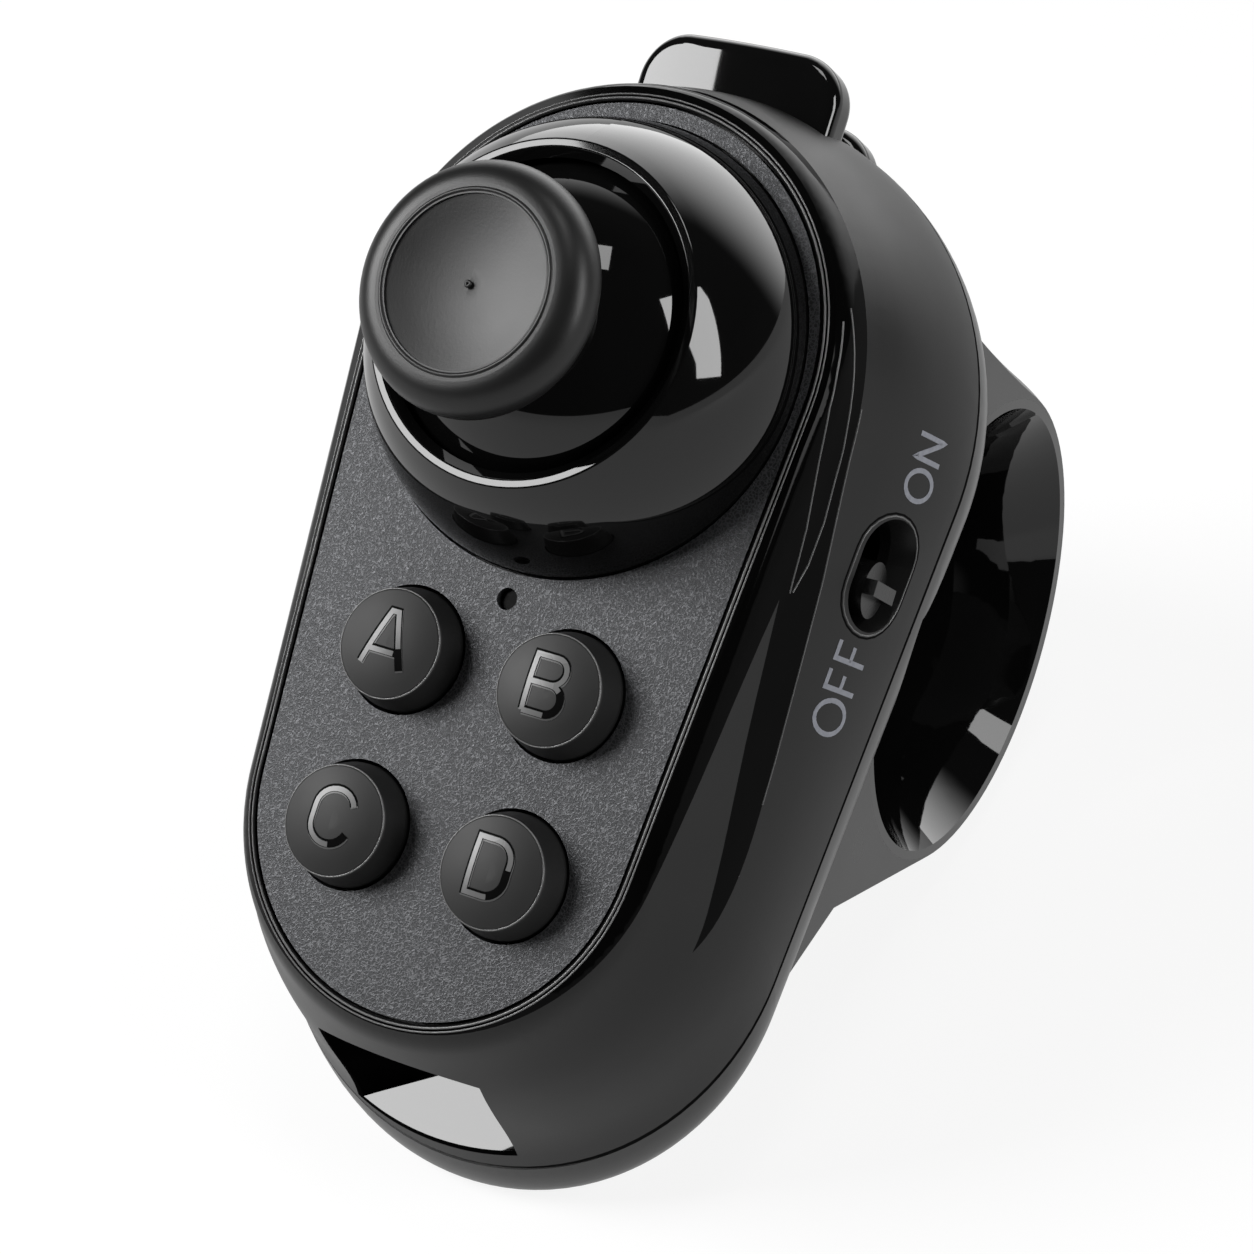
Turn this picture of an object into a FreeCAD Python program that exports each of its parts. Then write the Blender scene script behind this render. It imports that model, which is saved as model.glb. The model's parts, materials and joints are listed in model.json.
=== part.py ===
import FreeCAD, Part
import math
import os

import Sketcher
from FreeCAD import Placement, Rotation, Vector

# One-handed game remote worn on a finger: a thumb stick, four face buttons, two triggers at
# the stick end, a power switch on the side and a finger ring underneath.
# The remote is modelled lying flat: x runs along its length toward the stick, z is square to
# the face plate, whose top is z = 0, and y = 0 is its middle plane, the switch being at -y.
# Every piece is then leaned back by one placement, so that the ring and the nose rest on z = 0.

doc = FreeCAD.newDocument("remote")
sheet = doc.addObject("Spreadsheet::Sheet", "sizes")

DRIVING_SIZES = {
    # face plate, an egg shape: two round ends joined by straight sides
    "plate_stick_end_x": 13.9,
    "plate_stick_end_radius": 14.0,
    "plate_nose_end_x": 13.9,
    "plate_nose_end_radius": 12.0,
    "plate_thick": 1.2,
    "plate_gap": 0.15,
    "pinhole_x": 1.56,
    "pinhole_radius": 0.64,
    # body: height levels below the plate and the round ends at each level
    "rim_width": 0.6,
    "seam_depth": 13.0,
    "wall": 2.0,
    "deck_thick": 1.5,
    "trim_thick": 1.1,
    "groove": 0.28,
    # thumb stick
    "stick_x": 13.45,
    "dome_base_radius": 13.42,
    "dome_rim_radius": 9.87,
    "dome_height": 7.3,
    "skirt_radius": 11.4,
    "skirt_thick": 0.8,
    "skirt_gap": 0.45,
    "pivot_depth": 1.0,
    "cap_radius": 7.0,
    "cap_top": 14.8,
    "cap_bottom": 11.4,
    "cap_dish_radius": 4.8,
    "cap_dish_depth": 0.45,
    "shaft_radius": 1.6,
    "stick_rest_tilt": 1.8,
    # face buttons
    "button_radius": 3.6,
    "button_top_radius": 3.15,
    "button_height": 2.4,
    "button_near_x": 5.92,
    "button_far_x": 16.38,
    "button_y": 5.26,
    "button_travel": 0.8,
    "button_flange": 0.7,
    "slide_clear": 0.2,
    # triggers
    "trigger_half_width": 6.75,
    "trigger_thick": 4.0,
    "trigger_travel": 0.8,
    "upper_trigger_tip_x": 34.75,
    "upper_trigger_depth": 9.4,
    "lower_trigger_tip_x": 32.6,
    "lower_trigger_depth": 16.2,
    "trigger_back_x": 27.9,
    # power switch
    "switch_x": 5.9,
    "switch_depth": 8.3,
    "switch_slot_half_length": 3.15,
    "switch_slot_half_height": 2.1,
    "switch_travel": 1.8,
    # finger ring
    "ring_centre_depth": 29.1,
    "ring_half_length": 16.2,
    "ring_mouth_radius": 15.25,
    "ring_middle_radius": 17.95,
    "bore_radius": 9.9,
    "bore_x": 6.2,
    "bore_below_ring_centre": 2.9,
    "bore_half_length": 4.0,
    "mouth_below_ring_centre": 0.8,
    "mouth_half_width": 14.4,
    "mouth_half_height": 13.45,
    "liner_thick": 1.4,
    "liner_lip": 0.6,
    # inside
    "board_depth": 8.2,
    "board_thick": 1.0,
    "housing_width": 11.6,
    "housing_wall": 0.6,
    "battery_thick": 4.0,
    # resting pose
    "lean_angle": 40.8,
}


class Size:
    """A number that also carries its formula in the sheet, so one sum gives both."""

    def __init__(self, value, formula):
        self.value = value
        self.formula = formula

    def __add__(self, other):
        other = as_size(other)
        return Size(self.value + other.value, f"({self.formula} + {other.formula})")

    def __sub__(self, other):
        other = as_size(other)
        return Size(self.value - other.value, f"({self.formula} - {other.formula})")

    def __mul__(self, other):
        other = as_size(other)
        return Size(self.value * other.value, f"({self.formula} * {other.formula})")

    def __truediv__(self, other):
        other = as_size(other)
        return Size(self.value / other.value, f"({self.formula} / {other.formula})")

    def __neg__(self):
        return Size(-self.value, f"(0 - {self.formula})")

    def __radd__(self, other):
        return as_size(other) + self

    def __rsub__(self, other):
        return as_size(other) - self

    def __rmul__(self, other):
        return as_size(other) * self


def as_size(number):
    if isinstance(number, Size):
        return number
    return Size(float(number), f"({float(number):.6g})")


def fill_sheet():
    for row, (alias, value) in enumerate(DRIVING_SIZES.items(), start=1):
        sheet.set(f"A{row}", alias.replace("_", " "))
        sheet.set(f"B{row}", str(value))
        sheet.setAlias(f"B{row}", alias)
    doc.recompute()


def named(alias):
    return Size(DRIVING_SIZES[alias], f"sizes.{alias}")


def bind(item, path, size):
    item.setExpression(path, as_size(size).formula)


fill_sheet()

# Sketches

SKETCH_TURNS = {
    "xy": Rotation(),
    "xz": Rotation(Vector(1, 0, 0), 90),
    "yz": Rotation(Vector(1, 1, 1), 120),
}
SKETCH_OFFSETS = {"xy": "z", "xz": "y", "yz": "x"}


def new_sketch(name, plane, offset):
    sketch = doc.addObject("Sketcher::SketchObject", name)
    sketch.Placement = Placement(Vector(), SKETCH_TURNS[plane])
    bind(sketch, f"Placement.Base.{SKETCH_OFFSETS[plane]}", offset)
    return sketch


def limit(sketch, kind, places, size):
    index = sketch.addConstraint(Sketcher.Constraint(kind, *places, as_size(size).value))
    bind(sketch, f"Constraints[{index}]", size)


def lock(sketch, piece, point, across=None, up=None):
    """Holds a point at a distance from the sketch's axes, on either side of them."""
    for kind, axis, size in (("DistanceX", -2, across), ("DistanceY", -1, up)):
        if size is None:
            continue
        size = as_size(size)
        if size.value > 0:
            limit(sketch, kind, (-1, 1, piece, point), size)
        elif size.value < 0:
            limit(sketch, kind, (piece, point, -1, 1), -size)
        else:
            sketch.addConstraint(Sketcher.Constraint("PointOnObject", piece, point, axis))


def polygon(name, plane, offset, corners):
    """A closed outline of straight sides, each corner held at its own size."""
    sketch = new_sketch(name, plane, offset)
    points = [Vector(as_size(a).value, as_size(b).value, 0) for a, b in corners]
    for index, start in enumerate(points):
        sketch.addGeometry(Part.LineSegment(start, points[(index + 1) % len(points)]), False)
    for index in range(len(points)):
        following = (index + 1) % len(points)
        sketch.addConstraint(Sketcher.Constraint("Coincident", index, 2, following, 1))
    for index, (across, up) in enumerate(corners):
        lock(sketch, index, 1, across, up)
    return sketch


def egg(name, offset, front_x, front_radius, back_x, back_radius):
    """Two round ends on the x axis joined by their common tangents; back_x is a distance."""
    sketch = new_sketch(name, "xy", offset)
    front_x, front_radius = as_size(front_x), as_size(front_radius)
    back_x, back_radius = as_size(back_x), as_size(back_radius)
    reach = front_x.value + back_x.value
    turn = math.acos((back_radius.value - front_radius.value) / reach)
    front = Part.Circle(Vector(front_x.value, 0, 0), Vector(0, 0, 1), front_radius.value)
    back = Part.Circle(Vector(-back_x.value, 0, 0), Vector(0, 0, 1), back_radius.value)
    front_arc = Part.ArcOfCircle(front, -turn, turn)
    back_arc = Part.ArcOfCircle(back, turn, 2 * math.pi - turn)
    sketch.addGeometry(front_arc, False)
    sketch.addGeometry(Part.LineSegment(front_arc.EndPoint, back_arc.StartPoint), False)
    sketch.addGeometry(back_arc, False)
    sketch.addGeometry(Part.LineSegment(back_arc.EndPoint, front_arc.StartPoint), False)
    for first, second in ((0, 1), (1, 2), (2, 3), (3, 0)):
        sketch.addConstraint(Sketcher.Constraint("Tangent", first, 2, second, 1))
    lock(sketch, 0, 3, front_x, 0)
    lock(sketch, 2, 3, -back_x, 0)
    limit(sketch, "Radius", (0,), front_radius)
    limit(sketch, "Radius", (2,), back_radius)
    return sketch


def slot_outline(name, plane, offset, across, up, half_length, half_height):
    """A slot with round ends, lying along the sketch's first axis."""
    sketch = new_sketch(name, plane, offset)
    run = as_size(half_length) - half_height
    radius = as_size(half_height).value
    middle = Vector(as_size(across).value, as_size(up).value, 0)
    shift = Vector(run.value, 0, 0)
    right = Part.ArcOfCircle(Part.Circle(middle + shift, Vector(0, 0, 1), radius), -math.pi / 2, math.pi / 2)
    left = Part.ArcOfCircle(Part.Circle(middle - shift, Vector(0, 0, 1), radius), math.pi / 2, 1.5 * math.pi)
    sketch.addGeometry(right, False)
    sketch.addGeometry(Part.LineSegment(right.EndPoint, left.StartPoint), False)
    sketch.addGeometry(left, False)
    sketch.addGeometry(Part.LineSegment(left.EndPoint, right.StartPoint), False)
    for first, second in ((0, 1), (1, 2), (2, 3), (3, 0)):
        sketch.addConstraint(Sketcher.Constraint("Tangent", first, 2, second, 1))
    lock(sketch, 0, 3, across + run, up)
    lock(sketch, 2, 3, across - run, up)
    limit(sketch, "Radius", (0,), half_height)
    return sketch


def ring_outline(name, offset, radius):
    """The ring's side view at one place along the finger: a round bottom, a straight side that
    spreads into the nose end, and a side that sweeps out a little to the stick end."""
    sketch = new_sketch(name, "xz", offset)
    upward = Vector(0, 0, 1)
    x, z = ring_x.value, -ring_centre_depth.value
    reach = as_size(radius).value
    across, rise = -nose_corner_x.value - x, -nose_corner_depth.value - z
    to_corner = math.hypot(across, rise)
    turn = math.atan2(rise, across) + math.acos(reach / to_corner)
    bottom = Part.ArcOfCircle(Part.Circle(Vector(x, z, 0), upward, reach), turn, 2 * math.pi)
    corner = Vector(-nose_corner_x.value, -nose_corner_depth.value, 0)
    stick_reach = stick_flare_radius.value
    stick_circle = Part.Circle(Vector(x + reach + stick_reach, z, 0), upward, stick_reach)
    stick_turn = math.asin((-ring_top_depth.value - z) / stick_reach)
    stick_side = Part.ArcOfCircle(stick_circle, math.pi - stick_turn, math.pi)
    toe = Vector(-nose_toe_x.value, -nose_toe_depth.value, 0)
    top_corner = Vector(toe.x, -ring_top_depth.value, 0)
    sketch.addGeometry(bottom, False)
    sketch.addGeometry(Part.LineSegment(bottom.StartPoint, corner), False)
    sketch.addGeometry(Part.LineSegment(corner, toe), False)
    sketch.addGeometry(Part.LineSegment(toe, top_corner), False)
    sketch.addGeometry(Part.LineSegment(top_corner, stick_side.StartPoint), False)
    sketch.addGeometry(stick_side, False)
    for kind, places in (
        ("Tangent", (0, 1, 1, 1)),
        ("Coincident", (1, 2, 2, 1)),
        ("Coincident", (2, 2, 3, 1)),
        ("Coincident", (3, 2, 4, 1)),
        ("Coincident", (4, 2, 5, 1)),
        ("Tangent", (5, 2, 0, 2)),
        ("Vertical", (3,)),
        ("Horizontal", (4,)),
        ("Horizontal", (0, 2, 0, 3)),
    ):
        sketch.addConstraint(Sketcher.Constraint(kind, *places))
    lock(sketch, 0, 3, ring_x, -ring_centre_depth)
    limit(sketch, "Radius", (0,), radius)
    limit(sketch, "Radius", (5,), stick_flare_radius)
    lock(sketch, 1, 2, -nose_corner_x, -nose_corner_depth)
    lock(sketch, 2, 2, -nose_toe_x, -nose_toe_depth)
    lock(sketch, 5, 1, None, -ring_top_depth)
    return sketch


# Solids

def extrude(name, sketch, direction, length, both_ways=False):
    solid = doc.addObject("Part::Extrusion", name)
    solid.Base = sketch
    solid.DirMode = "Custom"
    solid.Dir = direction
    solid.Solid = True
    solid.Symmetric = both_ways
    bind(solid, "LengthFwd", length)
    return solid


def loft(name, sections, ruled=False):
    solid = doc.addObject("Part::Loft", name)
    solid.Sections = sections
    solid.Solid = True
    solid.Ruled = ruled
    return solid


def turned(name, corners, axis_x, axis_y=0):
    """A solid of revolution about an upright axis; corners are (radius, height)."""
    sketch = polygon(f"{name}_profile", "xz", 0, corners)
    solid = doc.addObject("Part::Revolution", f"{name}_turned")
    solid.Source = sketch
    solid.Axis = Vector(0, 0, 1)
    solid.Base = Vector(0, 0, 0)
    solid.Angle = 360
    solid.Solid = True
    bind(solid, "Placement.Base.x", axis_x)
    bind(solid, "Placement.Base.y", axis_y)
    return solid


def block(name, low, high):
    """A box between two corners, each given as (x, y, z)."""
    solid = doc.addObject("Part::Box", name)
    spans = [as_size(b) - as_size(a) for a, b in zip(low, high)]
    for side, span in zip(("Length", "Width", "Height"), spans):
        bind(solid, side, span)
    for axis, place in zip("xyz", low):
        bind(solid, f"Placement.Base.{axis}", place)
    return solid


def rod(name, axis, start, length, radius):
    """A cylinder from start along the x, y or z axis."""
    solid = doc.addObject("Part::Cylinder", name)
    turns = {
        "z": Rotation(),
        "x": Rotation(Vector(0, 1, 0), 90),
        "y": Rotation(Vector(1, 0, 0), -90),
    }
    solid.Placement = Placement(Vector(), turns[axis])
    bind(solid, "Radius", radius)
    bind(solid, "Height", length)
    for letter, place in zip("xyz", start):
        bind(solid, f"Placement.Base.{letter}", place)
    return solid


def ball(name, centre, radius):
    solid = doc.addObject("Part::Sphere", name)
    bind(solid, "Radius", radius)
    for axis, place in zip("xyz", centre):
        bind(solid, f"Placement.Base.{axis}", place)
    return solid


def cut(name, base, *tools):
    tool = tools[0] if len(tools) == 1 else fuse(f"{name}_tools", *tools)
    solid = doc.addObject("Part::Cut", name)
    solid.Base = base
    solid.Tool = tool
    return solid


def fuse(name, *shapes):
    solid = doc.addObject("Part::MultiFuse", name)
    solid.Shapes = list(shapes)
    return solid


def common(name, *shapes):
    solid = doc.addObject("Part::MultiCommon", name)
    solid.Shapes = list(shapes)
    return solid


def rounded(name, base, radius, chooses):
    """Rounds the edges that the test chooses."""
    doc.recompute()
    solid = doc.addObject("Part::Fillet", name)
    solid.Base = base
    size = as_size(radius).value
    solid.Edges = [
        (number, size, size)
        for number, edge in enumerate(base.Shape.Edges, start=1)
        if chooses(edge)
    ]
    return solid


pieces = []


def piece(name, solid, with_stick=False):
    """Names a finished sub-part, which is leaned and exported later."""
    solid.Label = name
    pieces.append((solid, with_stick))


# Sizes that several pieces share

stick_x = named("stick_x")
wall = named("wall")
plate_thick = named("plate_thick")
deck_bottom = plate_thick + named("deck_thick")
seam_depth = named("seam_depth")
pivot_depth = named("pivot_depth")
board_depth = named("board_depth")
board_bottom = board_depth + named("board_thick")
slide_clear = named("slide_clear")
ring_x = named("bore_x")
ring_centre_depth = named("ring_centre_depth")
ring_top_depth = seam_depth + 0.3
nose_corner_depth = seam_depth + 8.0
nose_corner_x = as_size(12.9)
nose_toe_depth = seam_depth + 2.7
nose_toe_x = as_size(19.0)
stick_flare_radius = as_size(150)
FAR = 60

# Body outline at each depth: how far the end circles sit and how large they are, beyond the
# face plate's own. Each row: depth, stick end shift, stick end growth, nose shift, nose growth.
BODY_LEVELS = (
    (0.0, 0.0, 0.4, 0.0, 0.0),
    (2.0, -0.1, 1.3, 0.1, 1.4),
    (4.5, -0.4, 2.4, 0.2, 2.7),
    (8.0, -0.8, 3.7, 0.5, 4.1),
    (12.0, -1.3, 4.7, 2.0, 4.6),
    (14.5, -1.5, 4.8, 3.8, 4.4),
    (16.2, -1.5, 4.3, 4.8, 3.8),
    (17.8, -1.5, 3.3, 4.9, 2.6),
    (19.8, -1.5, 1.0, 3.4, 0.5),
    (20.6, -1.5, -1.4, 2.3, -1.8),
)


def body_section(name, level, inset=0.0):
    depth, stick_shift, stick_growth, nose_shift, nose_growth = level
    return egg(
        name,
        -as_size(depth),
        named("plate_stick_end_x") + stick_shift,
        named("plate_stick_end_radius") + named("rim_width") + stick_growth - inset,
        named("plate_nose_end_x") + nose_shift,
        named("plate_nose_end_radius") + named("rim_width") + nose_growth - inset,
    )


def body_solid(name, inset=0.0):
    sections = [body_section(f"{name}_section", level, inset) for level in BODY_LEVELS]
    return loft(name, sections)


def plate_egg(name, offset, growth):
    return egg(
        name,
        offset,
        named("plate_stick_end_x"),
        named("plate_stick_end_radius") + growth,
        named("plate_nose_end_x"),
        named("plate_nose_end_radius") + growth,
    )


BUTTONS = (
    ("a", -named("button_near_x"), named("button_y")),
    ("b", -named("button_near_x"), -named("button_y")),
    ("c", -named("button_far_x"), named("button_y")),
    ("d", -named("button_far_x"), -named("button_y")),
)


def button_holes(name, clearance, top, bottom):
    return [
        rod(f"{name}_{letter}", "z", (x, y, -as_size(bottom)), as_size(top) + bottom,
            named("button_radius") + clearance)
        for letter, x, y in BUTTONS
    ]


# Body blanks that the shells are cut from

outer_body = body_solid("outer_body")


def side_slab(name, top, bottom):
    """Everything between two heights."""
    return block(name, (-FAR, -FAR, bottom), (FAR, FAR, top))


CAVITY_LEVELS = (
    # a body level, and how far inside the wall the cavity stays there
    ((2.7, -0.2, 1.6, 0.1, 1.8), 0.0),
    ((4.5, -0.4, 2.4, 0.2, 2.7), 0.0),
    ((8.0, -0.8, 3.7, 0.5, 4.1), 0.0),
    ((12.0, -1.3, 4.7, 1.7, 4.7), 0.0),
    ((14.5, -1.5, 4.8, 2.8, 4.5), 0.6),
    ((16.0, -1.5, 4.4, 1.8, 4.7), 3.2),
    ((17.6, -1.5, 3.4, 1.8, 4.1), 6.2),
)

cavity = loft(
    "cavity",
    [body_section("cavity_section", level, wall + extra) for level, extra in CAVITY_LEVELS],
    ruled=True,
)
plate_pocket = extrude(
    "plate_pocket",
    plate_egg("plate_pocket_outline", 1, named("plate_gap")),
    Vector(0, 0, -1),
    plate_thick + 1,
)

# Glossy trim round the face plate, with a blade down each side of the body

TRIM_EDGE = (
    # x and z along the lower edge in side view, from the nose round to the stick end
    ((-34.0, -0.3), (-20.0, -0.4), (-13.0, -1.0), (-9.0, -1.3), (-3.4, -1.6), (2.6, -2.0)),
    ((2.6, -2.0), (-1.1, -2.6), (-5.7, -3.3), (-13.1, -4.5), (-17.4, -4.9)),
    ((-17.4, -4.9), (-13.6, -5.8), (-6.0, -5.4), (4.4, -4.2), (11.0, -3.1), (20.0, -2.1), (36.0, -2.0)),
)


def trim_side_view():
    """Three smooth curves closed over the top: a strip, a tongue cut and a blade."""
    edges = []
    for points in TRIM_EDGE:
        curve = Part.BSplineCurve()
        curve.interpolate([Vector(x, -FAR, z) for x, z in points])
        edges.append(curve.toShape())
    start = Vector(TRIM_EDGE[0][0][0], -FAR, TRIM_EDGE[0][0][1])
    end = Vector(TRIM_EDGE[2][-1][0], -FAR, TRIM_EDGE[2][-1][1])
    corners = [end, Vector(end.x, -FAR, 1), Vector(start.x, -FAR, 1), start]
    edges += [Part.LineSegment(a, b).toShape() for a, b in zip(corners, corners[1:])]
    outline = doc.addObject("Part::Feature", "trim_side_view")
    outline.Shape = Part.Face(Part.Wire(edges))
    return outline


trim_prism = extrude("trim_prism", trim_side_view(), Vector(0, 1, 0), 2 * FAR)
trim_core = loft(
    "trim_core",
    [
        plate_egg("trim_core_top", 1, named("plate_gap")),
        plate_egg("trim_core_shoulder", -2.05, named("plate_gap")),
        body_section("trim_core_section", BODY_LEVELS[2], named("trim_thick")),
        body_section("trim_core_section", BODY_LEVELS[3], named("trim_thick")),
    ],
    ruled=True,
)
trim_zone = cut("trim_zone", trim_prism, trim_core)
piece("front_trim", common("front_trim_solid", outer_body, trim_zone))

# Upper shell: matte sides and nose, with the deck that the plate is glued on

skirt_bore = named("skirt_radius") + named("skirt_gap")
SEAM_LEVEL = (13.0, -1.4, 4.8, 2.75, 4.55)
seam_groove = cut(
    "seam_groove",
    extrude("seam_groove_out", body_section("seam_groove_outer", SEAM_LEVEL, -3.0),
            Vector(0, 0, 1), named("groove"), both_ways=True),
    extrude("seam_groove_in", body_section("seam_groove_inner", SEAM_LEVEL, named("groove")),
            Vector(0, 0, 1), 1, both_ways=True),
)
trigger_width = named("trigger_half_width")
trigger_half = named("trigger_thick") / 2


def trigger_slot(name, depth):
    half = trigger_half + slide_clear
    return block(
        name,
        (named("trigger_back_x") - 1.6, -(trigger_width + slide_clear), -(depth + half)),
        (FAR, trigger_width + slide_clear, -(depth - half)),
    )


upper_trigger_slot = trigger_slot("upper_trigger_slot", named("upper_trigger_depth"))
lower_trigger_slot = trigger_slot("lower_trigger_slot", named("lower_trigger_depth"))

switch_x = named("switch_x")
switch_depth = named("switch_depth")
slot_length = named("switch_slot_half_length")
slot_height = named("switch_slot_half_height")
switch_slot = extrude(
    "switch_slot",
    slot_outline("switch_slot_outline", "xz", -13, switch_x, -switch_depth, slot_length, slot_height),
    Vector(0, -1, 0),
    10,
)
switch_bevel = loft(
    "switch_bevel",
    [
        slot_outline("switch_bevel_in", "xz", -17.2, switch_x, -switch_depth, slot_length, slot_height),
        slot_outline("switch_bevel_out", "xz", -18.8, switch_x, -switch_depth,
                     slot_length + 0.35, slot_height + 0.35),
    ],
    ruled=True,
)

USB_X = -8.0
USB_WIDTH = 7.6
USB_HEIGHT = 2.7
usb_opening = block(
    "usb_opening",
    (USB_X - USB_WIDTH / 2 - 0.4, 12, -(board_bottom + USB_HEIGHT + 0.4)),
    (USB_X + USB_WIDTH / 2 + 0.4, FAR, -(board_bottom - 0.4)),
)

# Nose window: a notch in the nose, whose floor and far side are one glossy insert
NOTCH_BACK_X = -28.4
NOTCH_FRONT_X = -36.0
NOTCH_NEAR_Y = -5.3
NOTCH_FAR_SIDE = (
    # a height, and y of the sloping far side there, at the notch's back and at its front
    (-14.0, -0.35, 9.55),
    (1.0, 9.24, 19.15),
)
NOTCH_FLOOR = (
    # a y, and the floor's height there, well in front of the notch and well behind it
    (-8.0, -10.44, -12.04),
    (12.0, -11.64, -13.24),
)
NOTCH_FLOOR_FRONT_X = -40.0
NOTCH_FLOOR_BACK_X = -24.0
INSERT_FLOOR_THICK = 0.5
INSERT_SIDE_WIDTH = 0.9
NOSE_SOLID_X = -27.0


def notch(name, widening=0.0, deepening=0.0):
    outlines = [
        polygon(f"{name}_outline", "xy", height, (
            (NOTCH_BACK_X, NOTCH_NEAR_Y),
            (NOTCH_BACK_X, back_y + widening),
            (NOTCH_FRONT_X, front_y + widening),
            (NOTCH_FRONT_X, NOTCH_NEAR_Y),
        ))
        for height, back_y, front_y in NOTCH_FAR_SIDE
    ]
    floors = [
        polygon(f"{name}_floor_outline", "xz", y, (
            (NOTCH_FLOOR_FRONT_X, front_z - deepening),
            (NOTCH_FLOOR_BACK_X, back_z - deepening),
            (NOTCH_FLOOR_BACK_X, -FAR),
            (NOTCH_FLOOR_FRONT_X, -FAR),
        ))
        for y, front_z, back_z in NOTCH_FLOOR
    ]
    return cut(name, loft(f"{name}_sides", outlines, ruled=True), loft(f"{name}_floor", floors, ruled=True))


nose_notch = notch("nose_notch")
insert_room = notch("insert_room", INSERT_SIDE_WIDTH, INSERT_FLOOR_THICK)
insert_blank = common("nose_window_blank", outer_body, insert_room)
piece("nose_window", cut("nose_window_solid", insert_blank, nose_notch))

BOARD_POSTS = ((-20.9, 0.0), (-1.4, 10.6), (-1.4, -10.6))
POST_RADIUS = 2.0
SCREW_RADIUS = 0.8
CASE_SCREWS = ((-24.2, 8.2), (-24.2, -8.2))
BOSS_RADIUS = 2.5
CASE_SCREW_RADIUS = 1.0
board_posts = [
    rod("board_post", "z", (x, y, -board_depth), board_depth - deck_bottom + 0.2, POST_RADIUS)
    for x, y in BOARD_POSTS
]
board_post_holes = [
    rod("board_post_hole", "z", (x, y, -board_depth), 2.6, SCREW_RADIUS) for x, y in BOARD_POSTS
]
upper_bosses = [
    rod("upper_boss", "z", (x, y, -seam_depth), seam_depth - 5.2, BOSS_RADIUS) for x, y in CASE_SCREWS
]
upper_boss_holes = [
    rod("upper_boss_hole", "z", (x, y, -seam_depth), 5, CASE_SCREW_RADIUS) for x, y in CASE_SCREWS
]

upper_blank = common("upper_blank", outer_body, side_slab("above_seam", 5, -seam_depth))
upper_cavity = cut("upper_cavity", cavity, block("solid_nose", (-FAR, -FAR, -FAR), (NOSE_SOLID_X, FAR, FAR)))
upper_hollow = cut("upper_hollow", upper_blank, upper_cavity, plate_pocket, trim_zone)
upper_stout = fuse("upper_stout", upper_hollow, *board_posts, *upper_bosses)
piece("upper_shell", cut(
    "upper_shell_solid",
    upper_stout,
    seam_groove,
    upper_trigger_slot,
    fuse("switch_cut", switch_slot, switch_bevel),
    usb_opening,
    insert_room,
    rod("deck_stick_hole", "z", (stick_x, 0, -5), 5, skirt_bore + 0.05),
    rod("deck_light_hole", "z", (-named("pinhole_x"), 0, -5), 5, named("pinhole_radius")),
    *button_holes("deck_button_hole", slide_clear, 0, 5),
    *board_post_holes,
    *upper_boss_holes,
))

# Face plate

plate_blank = extrude("plate_blank", plate_egg("plate_outline", 0, 0), Vector(0, 0, -1), plate_thick)
piece("face_plate", cut(
    "face_plate_solid",
    plate_blank,
    rod("plate_dome_hole", "z", (stick_x, 0, -3), 5, named("dome_base_radius") + 0.1),
    rod("plate_pinhole", "z", (-named("pinhole_x"), 0, -3), 5, named("pinhole_radius")),
    *button_holes("plate_button_hole", slide_clear, 1, 3),
))

# Finger ring and its glossy liner

mouth_depth = ring_centre_depth + named("mouth_below_ring_centre")
mouth_width = named("mouth_half_width")
mouth_height = named("mouth_half_height")
bore_radius = named("bore_radius")
bore_depth = ring_centre_depth + named("bore_below_ring_centre")
bore_start = named("bore_half_length")
ring_end = named("ring_half_length")


def part_way(first, last, share):
    return first + (last - first) * share


# How far the bore has opened from its round middle to its mouth, along the finger. The last
# row lies past the mouth, so that the same curve also trims the body's side above the ring.
FLARE_ROWS = ((0.0, 0.0), (0.3, 0.07), (0.62, 0.36), (1.0, 1.0), (1.22, 1.35))


def flare(name, side, growth_middle, growth_mouth):
    sections = []
    for along, opening in FLARE_ROWS:
        section = doc.addObject("Part::Ellipse", f"{name}_section")
        section.Placement = Placement(Vector(), SKETCH_TURNS["xz"])
        growth = part_way(as_size(growth_middle), as_size(growth_mouth), along)
        bind(section, "MajorRadius", part_way(bore_radius, mouth_width, opening) + growth)
        bind(section, "MinorRadius", part_way(bore_radius, mouth_height, opening) + growth)
        bind(section, "Placement.Base.x", ring_x)
        bind(section, "Placement.Base.y", side * part_way(bore_start, ring_end, along))
        bind(section, "Placement.Base.z", -part_way(bore_depth, mouth_depth, opening))
        sections.append(section)
    return loft(name, sections)


def finger_space(name, growth_middle, growth_mouth):
    middle = rod(f"{name}_middle", "y", (ring_x, -bore_start, -bore_depth), bore_start * 2,
                 bore_radius + growth_middle)
    return fuse(
        name,
        middle,
        flare(f"{name}_switch_side", -1, growth_middle, growth_mouth),
        flare(f"{name}_far_side", 1, growth_middle, growth_mouth),
    )


liner_seat = finger_space("liner_seat", named("liner_thick"), named("liner_lip"))
finger_bore = finger_space("finger_bore", 0, 0)
liner_slab = block("liner_slab", (-FAR, -ring_end, -FAR), (FAR, ring_end, 0))
piece("ring_liner", cut("ring_liner_solid", common("liner_blank", liner_seat, liner_slab), finger_bore))

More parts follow.
